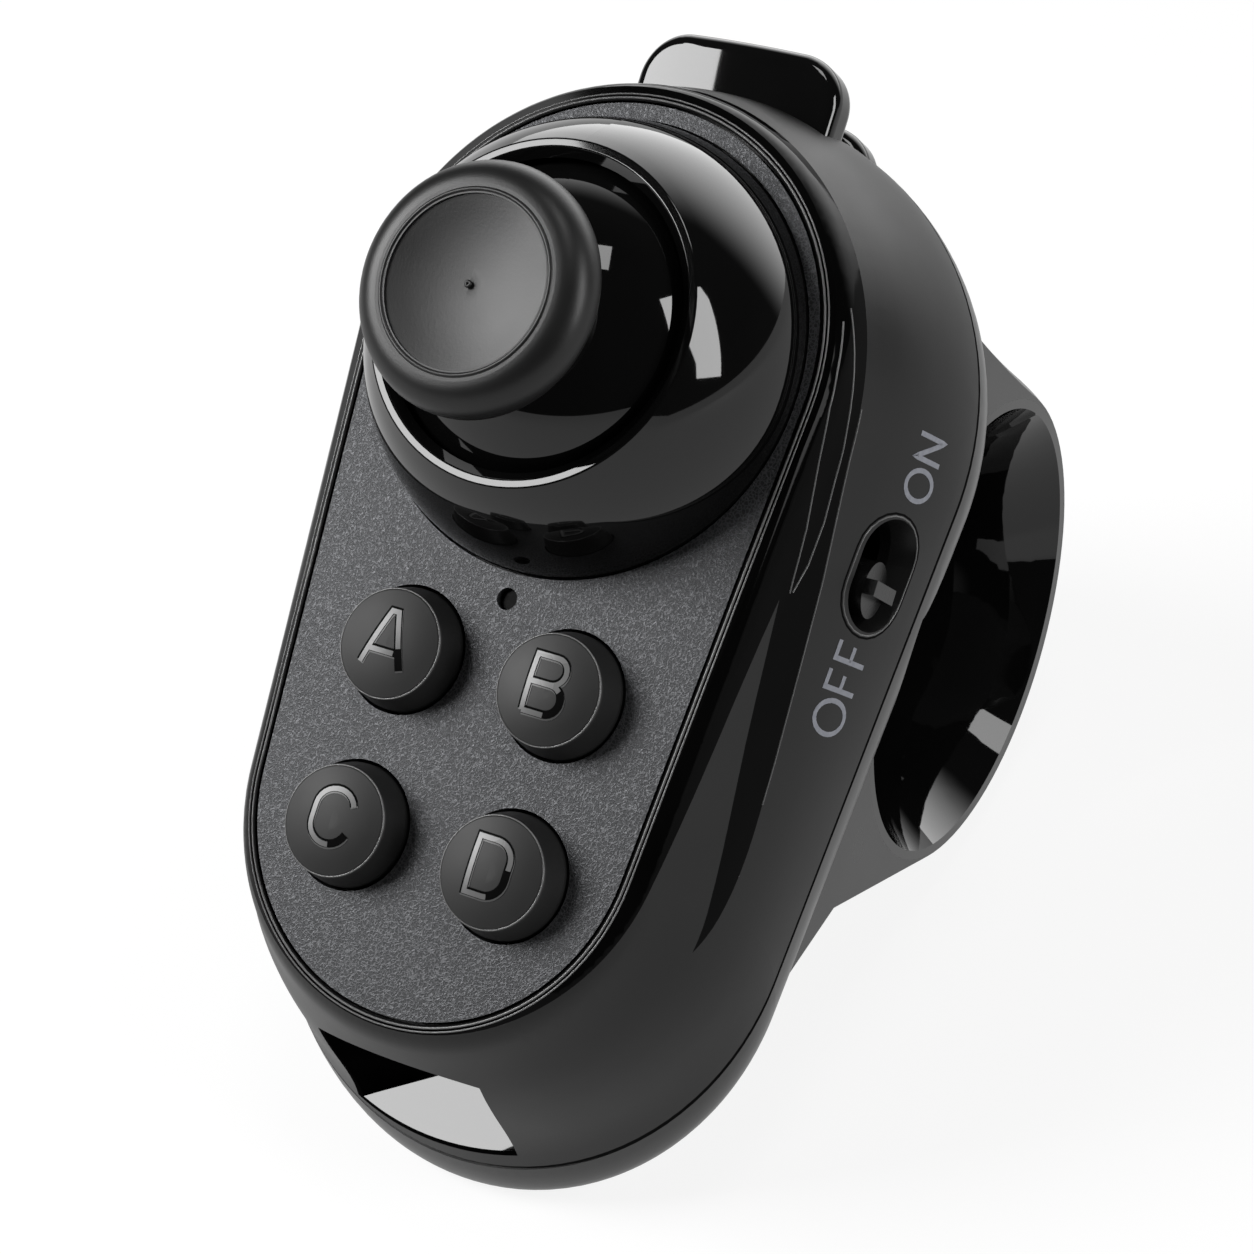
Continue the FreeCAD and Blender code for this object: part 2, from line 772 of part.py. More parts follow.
RING_ROWS = ((-1.0, 0.0), (-0.8, 0.62), (0.0, 1.0), (0.8, 0.62), (1.0, 0.0))
ring_band = loft("ring_band", [
    ring_outline(
        "ring_section",
        ring_end * along,
        part_way(named("ring_mouth_radius"), named("ring_middle_radius"), bulge),
    )
    for along, bulge in RING_ROWS
])
lower_blank = common("lower_blank", outer_body, side_slab("below_seam", -seam_depth, -FAR))
lower_stout = cut("lower_stout", fuse("lower_fused", lower_blank, ring_band), cavity, liner_seat)
lower_bosses = [
    rod("lower_boss", "z", (x, y, -17.8), 17.8 - seam_depth, BOSS_RADIUS) for x, y in CASE_SCREWS
]
SCREW_HEAD_DEPTH = 18.0
lower_boss_holes = [
    rod("lower_boss_hole", "z", (x, y, -FAR), FAR, CASE_SCREW_RADIUS + 0.1) for x, y in CASE_SCREWS
]
HEAD_RADIUS = 2.0
screw_head_wells = [
    rod("screw_head_well", "z", (x, y, -FAR), FAR - SCREW_HEAD_DEPTH, HEAD_RADIUS + 0.2)
    for x, y in CASE_SCREWS
]
TRIGGER_BOARD_X = 24.9
TRIGGER_BOARD_THICK = 1.0
trigger_board_pocket = block(
    "trigger_board_pocket",
    (TRIGGER_BOARD_X - 0.3, -4.9, -18.5),
    (named("trigger_back_x"), 4.9, -seam_depth + 1),
)
lower_solid = cut(
    "lower_solid",
    fuse("lower_with_bosses", lower_stout, *lower_bosses),
    seam_groove,
    lower_trigger_slot,
    trigger_board_pocket,
    *lower_boss_holes,
    *screw_head_wells,
)

# Where the remote rests: leaned back on the underside of its nose, with a small flat on the
# ring's bottom level with it

doc.recompute()
lean_turn = Rotation(Vector(0, 1, 0), -DRIVING_SIZES["lean_angle"])
nose_half = outer_body.Shape.common(Part.makeBox(FAR, 2 * FAR, FAR, Vector(-FAR, -FAR, -FAR)))
nose_half.Placement = Placement(Vector(), lean_turn)
floor_height = nose_half.optimalBoundingBox().ZMin
floor_box = Part.makeBox(4 * FAR, 4 * FAR, FAR, Vector(-2 * FAR, -2 * FAR, floor_height - FAR))
floor_box.Placement = Placement(Vector(), lean_turn.inverted())
floor_block = doc.addObject("Part::Feature", "floor_block")
floor_block.Shape = floor_box
piece("lower_shell", cut("lower_shell_solid", lower_solid, floor_block))

# Thumb stick: a fixed glossy dome, and inside it two crossed rockers that let the stick tilt


def root(size):
    return Size(math.sqrt(size.value), f"sqrt({size.formula})")


def about_pivot(x, y, z):
    return (stick_x + x, as_size(y), as_size(z) - pivot_depth)


dome_height = named("dome_height")
dome_base = named("dome_base_radius")
dome_rim = named("dome_rim_radius")
dome_centre = (dome_rim * dome_rim + dome_height * dome_height - dome_base * dome_base) / (dome_height * 2)
dome_radius = root(dome_base * dome_base + dome_centre * dome_centre)
dome_blank = common(
    "dome_blank",
    ball("dome_ball", (stick_x, 0, dome_centre), dome_radius),
    rod("dome_cylinder", "z", (stick_x, 0, -plate_thick), dome_height + plate_thick, dome_base),
)
RIM_LAND = 0.45
RIM_BEVEL = 0.5
dome_bevel = turned("dome_bevel", (
    (0, dome_height - RIM_BEVEL), (dome_rim - RIM_LAND - RIM_BEVEL, dome_height - RIM_BEVEL),
    (dome_rim - RIM_LAND + RIM_BEVEL, dome_height + RIM_BEVEL), (0, dome_height + RIM_BEVEL),
), stick_x)
dome_open = cut("dome_open", dome_blank, ball("dome_inside", about_pivot(0, 0, 0), skirt_bore), dome_bevel)
piece("stick_dome", rounded(
    "stick_dome_solid", dome_open, 0.15,
    lambda edge: edge.BoundBox.ZMin > DRIVING_SIZES["dome_height"] - 0.05,
))

shaft_radius = named("shaft_radius")
SKIRT_LOWER_EDGE = 3.5
COLLAR_RADIUS = 3.0
COLLAR_LOW = 9.2
COLLAR_TALL = 1.7
skirt_ball = cut(
    "skirt_ball",
    ball("skirt_outside", about_pivot(0, 0, 0), named("skirt_radius")),
    ball("skirt_inside", about_pivot(0, 0, 0), named("skirt_radius") - named("skirt_thick")),
)
skirt_shell = common(
    "skirt_shell",
    skirt_ball,
    block("skirt_upper_half", about_pivot(-FAR, -FAR, SKIRT_LOWER_EDGE), about_pivot(FAR, FAR, FAR)),
)
piece("stick_skirt", cut(
    "stick_skirt_solid",
    fuse("skirt_with_collar", skirt_shell,
         rod("skirt_collar", "z", about_pivot(0, 0, COLLAR_LOW), COLLAR_TALL, COLLAR_RADIUS)),
    rod("skirt_hole", "z", about_pivot(0, 0, 5), 10, shaft_radius),
), with_stick=True)

cap_radius = named("cap_radius")
cap_top = named("cap_top")
cap_bottom = named("cap_bottom")
SHAFT_TOP = 13.2
NECK_RADIUS = 3.2
NECK_BOTTOM = 9.6
CAP_CHAMFER = 1.7
CAP_SIDE_START = 1.1
CAP_TOP_ROUND = 1.65
CAP_SIDE_ROUND = 0.8
cap_turned = turned("cap", (
    (0, SHAFT_TOP), (shaft_radius, SHAFT_TOP), (shaft_radius, NECK_BOTTOM), (NECK_RADIUS, NECK_BOTTOM),
    (NECK_RADIUS, cap_bottom), (cap_radius - CAP_CHAMFER, cap_bottom),
    (cap_radius, cap_bottom + CAP_SIDE_START),
    (cap_radius, cap_top), (0, cap_top),
), stick_x)
cap_shaped = rounded("cap_shaped", cap_turned, CAP_TOP_ROUND, lambda edge: (
    edge.BoundBox.ZMin > DRIVING_SIZES["cap_top"] - 0.05 and edge.BoundBox.XLength > 2
))
cap_shaped = rounded("cap_soft", cap_shaped, CAP_SIDE_ROUND, lambda edge: (
    abs(edge.BoundBox.ZMin - DRIVING_SIZES["cap_bottom"] - CAP_SIDE_START) < 0.05
    and edge.BoundBox.ZLength < 0.01
    and edge.BoundBox.XLength > 12
))
DISH_SWEEP = 24.0
dish = common(
    "cap_dish",
    rod("cap_dish_edge", "z", (stick_x, 0, cap_top - 2), 4, named("cap_dish_radius")),
    ball("cap_dish_ball", (stick_x, 0, cap_top - named("cap_dish_depth") - 0.15 + DISH_SWEEP), DISH_SWEEP),
)
piece("stick_cap", cut(
    "stick_cap_solid",
    cap_shaped,
    fuse("cap_cuts", dish, ball("cap_seat", about_pivot(0, 0, 0), named("skirt_radius"))),
), with_stick=True)

SHAFT_BELOW = 2.6
CROSS_PIN_RADIUS = 0.7
CROSS_PIN_REACH = 3.8
piece("stick_shaft", fuse(
    "stick_shaft_solid",
    rod("shaft_rod", "z", about_pivot(0, 0, -SHAFT_BELOW), SHAFT_BELOW + pivot_depth + SHAFT_TOP,
        shaft_radius),
    rod("shaft_cross_pin", "x", about_pivot(-CROSS_PIN_REACH, 0, 0), 2 * CROSS_PIN_REACH,
        CROSS_PIN_RADIUS),
), with_stick=True)

PIN_RADIUS = 1.0
PIN_CLEAR = 0.05
SHORT_PIN = 5.75
LONG_PIN = 7.2
FRAME_LONG = 3.9
FRAME_WIDE = 3.2
FRAME_TALL = 0.9
WINDOW_LONG = 2.2
WINDOW_WIDE = 2.4
PIN_ROOT = 2.8
rocker_a_ring = cut(
    "rocker_a_ring",
    block("rocker_a_block", about_pivot(-FRAME_LONG, -FRAME_WIDE, -FRAME_TALL),
          about_pivot(FRAME_LONG, FRAME_WIDE, FRAME_TALL)),
    block("rocker_a_window", about_pivot(-WINDOW_LONG, -WINDOW_WIDE, -FAR),
          about_pivot(WINDOW_LONG, WINDOW_WIDE, FAR)),
    rod("rocker_a_holes", "x", about_pivot(-FAR, 0, 0), 2 * FAR, CROSS_PIN_RADIUS + PIN_CLEAR),
)
piece("rocker_a", fuse(
    "rocker_a_solid",
    rocker_a_ring,
    rod("rocker_a_short_pin", "y", about_pivot(0, -SHORT_PIN, 0), SHORT_PIN - PIN_ROOT, PIN_RADIUS),
    rod("rocker_a_long_pin", "y", about_pivot(0, PIN_ROOT, 0), LONG_PIN - PIN_ROOT, PIN_RADIUS),
), with_stick=True)

BAIL_IN = 4.3
BAIL_OUT = 4.9
BAIL_TOP = 4.1
BAIL_FOOT = 1.6
BAIL_UNDER = 3.4
ARM_WIDE = 2.0
BRIDGE_WIDE = 3.0
BAIL_SLOT_LONG = 3.25
BAIL_SLOT_WIDE = 1.85
bail_blank = fuse(
    "bail_blank",
    block("bail_arm_near", about_pivot(-BAIL_OUT, -ARM_WIDE, -BAIL_FOOT),
          about_pivot(-BAIL_IN, ARM_WIDE, BAIL_TOP)),
    block("bail_arm_far", about_pivot(BAIL_IN, -ARM_WIDE, -BAIL_FOOT),
          about_pivot(BAIL_OUT, ARM_WIDE, BAIL_TOP)),
    block("bail_bridge", about_pivot(-BAIL_OUT, -BRIDGE_WIDE, BAIL_UNDER),
          about_pivot(BAIL_OUT, BRIDGE_WIDE, BAIL_TOP)),
    rod("bail_short_pin", "x", about_pivot(-SHORT_PIN, 0, 0), SHORT_PIN - BAIL_IN, PIN_RADIUS),
    rod("bail_long_pin", "x", about_pivot(BAIL_IN, 0, 0), LONG_PIN - BAIL_IN, PIN_RADIUS),
)
piece("rocker_b", cut(
    "rocker_b_solid",
    bail_blank,
    block("bail_slot", about_pivot(-BAIL_SLOT_LONG, -BAIL_SLOT_WIDE, BAIL_UNDER - 1),
          about_pivot(BAIL_SLOT_LONG, BAIL_SLOT_WIDE, BAIL_TOP + 1)),
))

housing_half = named("housing_width") / 2
housing_inner = housing_half - named("housing_wall")
HOUSING_TOP = 6.0
HOUSING_MOUTH = 4.9
housing_bottom = board_depth - pivot_depth
PIN_HOLE = PIN_RADIUS + PIN_CLEAR
piece("stick_housing", cut(
    "stick_housing_solid",
    block("housing_block", about_pivot(-housing_half, -housing_half, -housing_bottom),
          about_pivot(housing_half, housing_half, HOUSING_TOP)),
    block("housing_room", about_pivot(-housing_inner, -housing_inner, -housing_bottom - 1),
          about_pivot(housing_inner, housing_inner, HOUSING_TOP - named("housing_wall"))),
    rod("housing_mouth", "z", about_pivot(0, 0, HOUSING_TOP - 2), 4, HOUSING_MOUTH),
    rod("housing_holes_x", "x", about_pivot(-FAR, 0, 0), 2 * FAR, PIN_HOLE),
    rod("housing_holes_y", "y", about_pivot(0, -FAR, 0), 2 * FAR, PIN_HOLE),
))

SENSOR_OUT = 8.0
SENSOR_HALF = 4.2
SENSOR_LOW = 4.5
SENSOR_TOP = 4.0
SENSOR_HOLE_END = 7.6
sensor_x = cut(
    "sensor_x",
    block("sensor_x_block", about_pivot(housing_half, -SENSOR_HALF, -SENSOR_LOW),
          about_pivot(SENSOR_OUT, SENSOR_HALF, SENSOR_TOP)),
    rod("sensor_x_hole", "x", about_pivot(0, 0, 0), SENSOR_HOLE_END, PIN_HOLE),
)
sensor_y = cut(
    "sensor_y",
    block("sensor_y_block", about_pivot(-SENSOR_HALF, housing_half, -SENSOR_LOW),
          about_pivot(SENSOR_HALF, SENSOR_OUT, SENSOR_TOP)),
    rod("sensor_y_hole", "y", about_pivot(0, 0, 0), SENSOR_HOLE_END, PIN_HOLE),
)


def group(name, members):
    """Several separate solids that count as one sub-part."""
    compound = doc.addObject("Part::Compound", name)
    compound.Links = members
    return compound


piece("tilt_sensors", group("tilt_sensors_group", [sensor_x, sensor_y]))

CUP_BOTTOM = 4.7
CUP_THICK = 0.6
CUP_RADIUS = 3.0
COIL_OUTER = 2.6
COIL_INNER = 1.9
COIL_GROOVE = 2.35
COIL_TURNS = 4


def coil_profile():
    """The closed coil's outline: one rib for each turn outside, smooth inside."""
    pitch = (board_depth - CUP_BOTTOM) / COIL_TURNS
    corners = [(COIL_INNER, -board_depth)]
    for turn in range(COIL_TURNS):
        foot = -board_depth + pitch * turn
        corners += [(COIL_GROOVE, foot), (COIL_OUTER, foot + pitch / 2)]
    return corners + [(COIL_GROOVE, -CUP_BOTTOM), (COIL_INNER, -CUP_BOTTOM)]


piece("stick_spring", group("stick_spring_group", [turned("coil", coil_profile(), stick_x)]))
piece("spring_cup", group("spring_cup_group", [
    rod("spring_cup_disc", "z", (stick_x, 0, -CUP_BOTTOM), CUP_THICK, CUP_RADIUS),
]))

# Face buttons on a rubber mat

FLANGE_TOP = deck_bottom + 0.2
FLANGE_THICK = 0.8
CROWN_SWEEP = 13.0
BUTTON_DRAFT_START = 0.2
BUTTON_EDGE = 0.25
button_radius = named("button_radius")
button_height = named("button_height")
flange_radius = button_radius + named("button_flange")
top_radius = named("button_top_radius")
for letter, x, y in BUTTONS:
    profile = turned(f"button_{letter}", (
        (0, -FLANGE_TOP - FLANGE_THICK), (flange_radius, -FLANGE_TOP - FLANGE_THICK),
        (flange_radius, -FLANGE_TOP), (button_radius, -FLANGE_TOP),
        (button_radius, BUTTON_DRAFT_START), (top_radius, button_height), (0, button_height),
    ), x, y)
    crowned = common(
        f"button_{letter}_crowned",
        profile,
        ball(f"button_{letter}_crown", (x, y, button_height - CROWN_SWEEP), CROWN_SWEEP),
    )
    piece(f"button_{letter}", rounded(
        f"button_{letter}_solid", crowned, BUTTON_EDGE,
        lambda edge: edge.BoundBox.ZMin > 1.2 and edge.BoundBox.XLength > 2,
    ))

MAT_THICK = 1.2
MAT_DOME_TOP = 4.6
MAT_DOME_RADIUS = 2.6
MAT_NOSE_X = -20.2
MAT_STICK_X = -2.6
MAT_HALF = 8.4
mat_top = board_depth - MAT_THICK
POST_X = BOARD_POSTS[0][0]
piece("button_mat", cut(
    "button_mat_solid",
    fuse(
        "button_mat_blank",
        block("mat_sheet", (MAT_NOSE_X, -MAT_HALF, -board_depth), (MAT_STICK_X, MAT_HALF, -mat_top)),
        *[
            rod(f"mat_dome_{letter}", "z", (x, y, -board_depth), board_depth - MAT_DOME_TOP,
                MAT_DOME_RADIUS)
            for letter, x, y in BUTTONS
        ],
    ),
    rod("mat_post_notch", "z", (POST_X, 0, -FAR), FAR, POST_RADIUS + 0.2),
))

# Board and what it carries

BOARD_EGG = (12.4, 12.2, 13.5, 10.6)
TAB_START_X = 15.0
TAB_HALF = 4.0
board_blank = fuse(
    "board_blank",
    extrude("board_egg", egg("board_outline", -board_bottom, *BOARD_EGG), Vector(0, 0, 1),
            named("board_thick")),
    block("board_tab", (TAB_START_X, -TAB_HALF, -board_bottom), (TRIGGER_BOARD_X, TAB_HALF, -board_depth)),
)
piece("main_board", cut(
    "main_board_solid",
    board_blank,
    *[rod("board_hole", "z", (x, y, -FAR), FAR, SCREW_RADIUS + 0.1) for x, y in BOARD_POSTS],
))


RECESS_HALF = 0.2
RECESS_DEEP = 0.4


def screw(name, x, y, head_depth, head_radius, head_thick, shank_radius, shank_length):
    """A screw put in from below, with a cross recess in its head."""
    head = rod(f"{name}_head", "z", (x, y, -(head_depth + as_size(head_thick))), head_thick, head_radius)
    shank = rod(f"{name}_shank", "z", (x, y, -as_size(head_depth)), shank_length, shank_radius)
    arm = head_radius * 0.6
    low = -(head_depth + as_size(head_thick)) - 1
    high = low + 1 + RECESS_DEEP
    return cut(
        name,
        fuse(f"{name}_blank", head, shank),
        block(f"{name}_recess_x", (x - arm, y - RECESS_HALF, low), (x + arm, y + RECESS_HALF, high)),
        block(f"{name}_recess_y", (x - RECESS_HALF, y - arm, low), (x + RECESS_HALF, y + arm, high)),
    )


SHANK_CLEAR = 0.03
piece("board_screws", group("board_screws_group", [
    screw("board_screw", x, y, board_bottom, 1.6, 0.8, SCREW_RADIUS - SHANK_CLEAR, 3.4)
    for x, y in BOARD_POSTS
]))
piece("case_screws", group("case_screws_group", [
    screw("case_screw", x, y, SCREW_HEAD_DEPTH, HEAD_RADIUS, 1.4, CASE_SCREW_RADIUS - SHANK_CLEAR, 9.6)
    for x, y in CASE_SCREWS
]))


def under_board(name, low_x, high_x, half_width, thick, low_y=None):
    bottom = -(board_bottom + thick)
    start = -half_width if low_y is None else low_y
    return block(name, (low_x, start, bottom), (high_x, half_width, -board_bottom))


CELL_X = (-8.0, 12.0)
CELL_HALF = 8.5
RADIO_X = (-18.0, -10.5)
RADIO_HALF = 5.0
RADIO_THICK = 1.8
CHIP_X = (14.0, 20.0)
CHIP_HALF = 3.0
CHIP_THICK = 1.0
piece("battery", group("battery_group", [
    under_board("battery_cell", *CELL_X, CELL_HALF, named("battery_thick")),
]))
piece("radio_module", group("radio_module_group", [
    under_board("radio_block", *RADIO_X, RADIO_HALF, RADIO_THICK),
]))
piece("processor_chip", group("processor_chip_group", [
    under_board("processor_block", *CHIP_X, CHIP_HALF, CHIP_THICK),
]))

USB_IN = 9.0
USB_OUT = 17.4
USB_SHEET = 0.35
TONGUE_HALF = 2.4
TONGUE_IN = 11.5
TONGUE_OUT = 16.4
TONGUE_TOP = 1.0
TONGUE_BOTTOM = 1.6
usb_shell = cut(
    "usb_shell",
    under_board("usb_block", USB_X - USB_WIDTH / 2, USB_X + USB_WIDTH / 2, USB_OUT, USB_HEIGHT, USB_IN),
    block("usb_mouth",
          (USB_X - USB_WIDTH / 2 + USB_SHEET, TONGUE_IN + 0.5, -(board_bottom + USB_HEIGHT - USB_SHEET)),
          (USB_X + USB_WIDTH / 2 - USB_SHEET, FAR, -(board_bottom + USB_SHEET))),
)
usb_tongue = block("usb_tongue", (USB_X - TONGUE_HALF, TONGUE_IN, -(board_bottom + TONGUE_BOTTOM)),
                   (USB_X + TONGUE_HALF, TONGUE_OUT, -(board_bottom + TONGUE_TOP)))
piece("usb_socket", fuse("usb_socket_solid", usb_shell, usb_tongue))

pinhole_x = named("pinhole_x")
LED_HALF = 0.8
LED_TOP = 7.5
PIPE_TOP = 0.4
PIPE_RADIUS = 0.55
PIPE_FLANGE_RADIUS = 1.1
PIPE_FLANGE_THICK = 0.7
piece("status_led", group("status_led_group", [
    block("led_block", (-pinhole_x - LED_HALF, -LED_HALF, -board_depth),
          (-pinhole_x + LED_HALF, LED_HALF, -LED_TOP)),
]))
piece("light_pipe", fuse(
    "light_pipe_solid",
    rod("light_pipe_rod", "z", (-pinhole_x, 0, -LED_TOP), LED_TOP - PIPE_TOP, PIPE_RADIUS),
    rod("light_pipe_flange", "z", (-pinhole_x, 0, -(deck_bottom + PIPE_FLANGE_THICK)), PIPE_FLANGE_THICK,
        PIPE_FLANGE_RADIUS),
))

# Triggers with their switches

TRIGGER_CORNER = 3.0
TRIGGER_EDGE = 0.9
TRIGGER_CROWN = 30.0
FLANGE_HALF = 3.0
FLANGE_DEEP = 0.3
FLANGE_REACH = 0.5


def trigger(name, tip_x, depth, flange_below):
    """A bar crowned above and below, with a flange inside the shell that keeps it in."""
    back = named("trigger_back_x")
    top, bottom = -(depth - trigger_half), -(depth + trigger_half)
    bar = common(
        f"{name}_bar",
        block(f"{name}_blank", (back, -trigger_width, bottom), (tip_x, trigger_width, top)),
        rod(f"{name}_crown_above", "x", (back, 0, top - TRIGGER_CROWN), tip_x - back, TRIGGER_CROWN),
        rod(f"{name}_crown_below", "x", (back, 0, bottom + TRIGGER_CROWN), tip_x - back, TRIGGER_CROWN),
    )
    front = tip_x.value - 0.01
    cornered = rounded(
        f"{name}_cornered", bar, TRIGGER_CORNER,
        lambda edge: edge.BoundBox.XMin > front and edge.BoundBox.YLength < 0.01,
    )
    eased = rounded(
        f"{name}_eased", cornered, TRIGGER_EDGE,
        lambda edge: edge.BoundBox.XMax > back.value + 1
        and edge.BoundBox.XLength + edge.BoundBox.YLength > 0.01,
    )
    flange_bottom = bottom - FLANGE_REACH if flange_below else -depth
    flange = block(
        f"{name}_flange",
        (back, -FLANGE_HALF, flange_bottom),
        (back + FLANGE_DEEP, FLANGE_HALF, top + FLANGE_REACH),
    )
    return fuse(f"{name}_solid", eased, flange)


piece("upper_trigger", trigger(
    "upper_trigger", named("upper_trigger_tip_x"), named("upper_trigger_depth"), flange_below=True,
))
piece("lower_trigger", trigger(
    "lower_trigger", named("lower_trigger_tip_x"), named("lower_trigger_depth"), flange_below=False,
))

board_face = TRIGGER_BOARD_X + TRIGGER_BOARD_THICK
TRIGGER_BOARD_HALF = 4.6
TRIGGER_BOARD_TOP = 7.2
TRIGGER_BOARD_BOTTOM = 18.2
piece("trigger_board", group("trigger_board_group", [
    block("trigger_board_sheet", (TRIGGER_BOARD_X, -TRIGGER_BOARD_HALF, -TRIGGER_BOARD_BOTTOM),
          (board_face, TRIGGER_BOARD_HALF, -TRIGGER_BOARD_TOP)),
]))
plunger_tip = named("trigger_back_x") - named("trigger_travel") - 0.1
TACT_HALF_WIDE = 2.6
TACT_HALF_TALL = 1.5
TACT_THICK = 0.7
PLUNGER_RADIUS = 1.1


def tact_switch(name, depth):
    return fuse(
        name,
        block(f"{name}_body", (board_face, -TACT_HALF_WIDE, -(depth + TACT_HALF_TALL)),
              (board_face + TACT_THICK, TACT_HALF_WIDE, -(depth - TACT_HALF_TALL))),
        rod(f"{name}_plunger", "x", (board_face, 0, -depth), plunger_tip - board_face, PLUNGER_RADIUS),
    )


piece("tact_switches", group("tact_switches_group", [
    tact_switch("upper_tact", named("upper_trigger_depth")),
    tact_switch("lower_tact", named("lower_trigger_depth")),
]))

# Power switch

KNOB_RADIUS = 1.65
KNOB_FACE = 17.8
KNOB_RIDGE = 18.5
RIDGE_HALF_WIDE = 0.45
RIDGE_HALF_TALL = 1.55
SLIDER_OUT = 14.9
SLIDER_IN = 14.4
SLIDER_HALF = 4.2
SLIDER_HEIGHTS = (-10.9, -7.0)
LUG_IN = 13.4
LUG_HALF = 0.6
LUG_HEIGHTS = (-8.0, -7.2)
SWITCH_BODY_HALF = 4.0
SWITCH_BODY_Y = (-14.2, -10.2)
SWITCH_BODY_TOP = -6.2
knob_x = switch_x - named("switch_travel") / 2
piece("power_knob", fuse(
    "power_knob_solid",
    rod("knob_disc", "y", (knob_x, -KNOB_FACE, -switch_depth), KNOB_FACE - SLIDER_IN, KNOB_RADIUS),
    block("knob_ridge", (knob_x - RIDGE_HALF_WIDE, -KNOB_RIDGE, -(switch_depth + RIDGE_HALF_TALL)),
          (knob_x + RIDGE_HALF_WIDE, -KNOB_FACE, -(switch_depth - RIDGE_HALF_TALL))),
    block("knob_slider", (knob_x - SLIDER_HALF, -SLIDER_OUT, SLIDER_HEIGHTS[0]),
          (knob_x + SLIDER_HALF, -SLIDER_IN, SLIDER_HEIGHTS[1])),
    block("knob_lug", (knob_x - LUG_HALF, -SLIDER_IN, LUG_HEIGHTS[0]),
          (knob_x + LUG_HALF, -LUG_IN, LUG_HEIGHTS[1])),
))
piece("power_switch", cut(
    "power_switch_solid",
    block("power_switch_body", (switch_x - SWITCH_BODY_HALF, SWITCH_BODY_Y[0], -board_depth),
          (switch_x + SWITCH_BODY_HALF, SWITCH_BODY_Y[1], SWITCH_BODY_TOP)),
    block("power_switch_groove",
          (knob_x - LUG_HALF - 0.3, -FAR, -board_depth - 1),
          (knob_x + named("switch_travel") + LUG_HALF + 0.3, -LUG_IN + 0.2, LUG_HEIGHTS[1] + 0.3)),
))

# Lean, check and export

doc.recompute()
for item in doc.Objects:
    if "Invalid" in item.State or "Error" in item.State:
        raise RuntimeError(f"{item.Name} did not build")
pivot = Vector(stick_x.value, 0, -pivot_depth.value)
stick_tilt = Placement(Vector(), Rotation(Vector(0, 1, 0), -DRIVING_SIZES["stick_rest_tilt"]), pivot)


def standing(lean, with_stick):
    return lean.multiply(stick_tilt) if with_stick else lean


def leaned_copy(item, with_stick):
    shape = item.Shape.copy()
    shape.Placement = standing(Placement(Vector(), lean_turn), with_stick)
    return shape


extent = Part.makeCompound([leaned_copy(*entry) for entry in pieces]).optimalBoundingBox()
middle_x = (extent.XMin + extent.XMax) / 2
lean = Placement(Vector(-middle_x, 0, -floor_height), lean_turn)
for item, with_stick in pieces:
    item.Placement = standing(lean, with_stick)
doc.recompute()

os.makedirs("parts", exist_ok=True)
for item, with_stick in pieces:
    shape = item.Shape
    if shape.isNull() or not shape.isValid():
        raise RuntimeError(f"{item.Label} is not a sound solid")
    shape.exportStep(f"parts/{item.Label}.step")
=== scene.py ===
import json
import math

import bmesh
import bpy
from mathutils import Matrix, Vector
from mathutils.bvhtree import BVHTree


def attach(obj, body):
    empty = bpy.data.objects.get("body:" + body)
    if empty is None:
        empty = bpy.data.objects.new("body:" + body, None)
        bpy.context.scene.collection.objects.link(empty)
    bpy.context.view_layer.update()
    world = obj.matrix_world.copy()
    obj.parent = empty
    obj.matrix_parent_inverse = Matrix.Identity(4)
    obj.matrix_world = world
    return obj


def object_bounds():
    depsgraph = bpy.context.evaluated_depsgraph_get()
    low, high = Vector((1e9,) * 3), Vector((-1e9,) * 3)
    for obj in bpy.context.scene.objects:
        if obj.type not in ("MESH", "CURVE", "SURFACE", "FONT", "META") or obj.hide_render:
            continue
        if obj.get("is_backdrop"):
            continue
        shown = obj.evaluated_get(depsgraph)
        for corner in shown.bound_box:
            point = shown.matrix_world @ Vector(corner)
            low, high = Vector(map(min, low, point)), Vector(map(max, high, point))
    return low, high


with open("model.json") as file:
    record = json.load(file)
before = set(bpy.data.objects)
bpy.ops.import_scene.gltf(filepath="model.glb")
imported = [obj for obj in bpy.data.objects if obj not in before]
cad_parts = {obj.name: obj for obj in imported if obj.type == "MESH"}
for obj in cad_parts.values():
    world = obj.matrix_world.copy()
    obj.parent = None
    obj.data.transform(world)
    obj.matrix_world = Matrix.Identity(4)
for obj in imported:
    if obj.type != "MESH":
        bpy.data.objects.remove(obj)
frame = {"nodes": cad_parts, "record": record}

# A finger-worn game remote seen from above its nose, leaning back on a white ground.
# Places on the remote are given as in the CAD source, in millimetres: x toward the stick,
# z square to the face plate with the plate's top at 0, y = 0 the middle plane.

MM = 0.001
LEAN_ANGLE = 40.8
LEAN_SHIFT = Vector((-10.7286, 0, 35.7087))
STICK_PIVOT = Vector((13.45, 0, -1))
STICK_REST_TILT = 1.8
PLATE_OUTLINE = (13.9, 14.0, 13.9, 12.0)
SEAM_OUTLINE = (12.5, 19.4, 16.65, 17.15)
SEAM_HEIGHT = -13.19
WINDOW_FLOOR_SIDE = (0.10, 0.06, 0.993)
SHARP_ANGLE = 50
PRINT_SINK = 0.01


def tipped(v, degrees):
    """A direction turned about y, its top going toward the nose."""
    cos, sin = math.cos(math.radians(degrees)), math.sin(math.radians(degrees))
    return Vector((v[0] * cos - v[2] * sin, v[1], v[0] * sin + v[2] * cos))


def place(v):
    """Where a place on the remote is in the scene, in metres."""
    return (tipped(v, LEAN_ANGLE) + LEAN_SHIFT) * MM


def unplace(point):
    """The place on the remote of a point in the scene."""
    return tipped(Vector(point) / MM - LEAN_SHIFT, -LEAN_ANGLE)


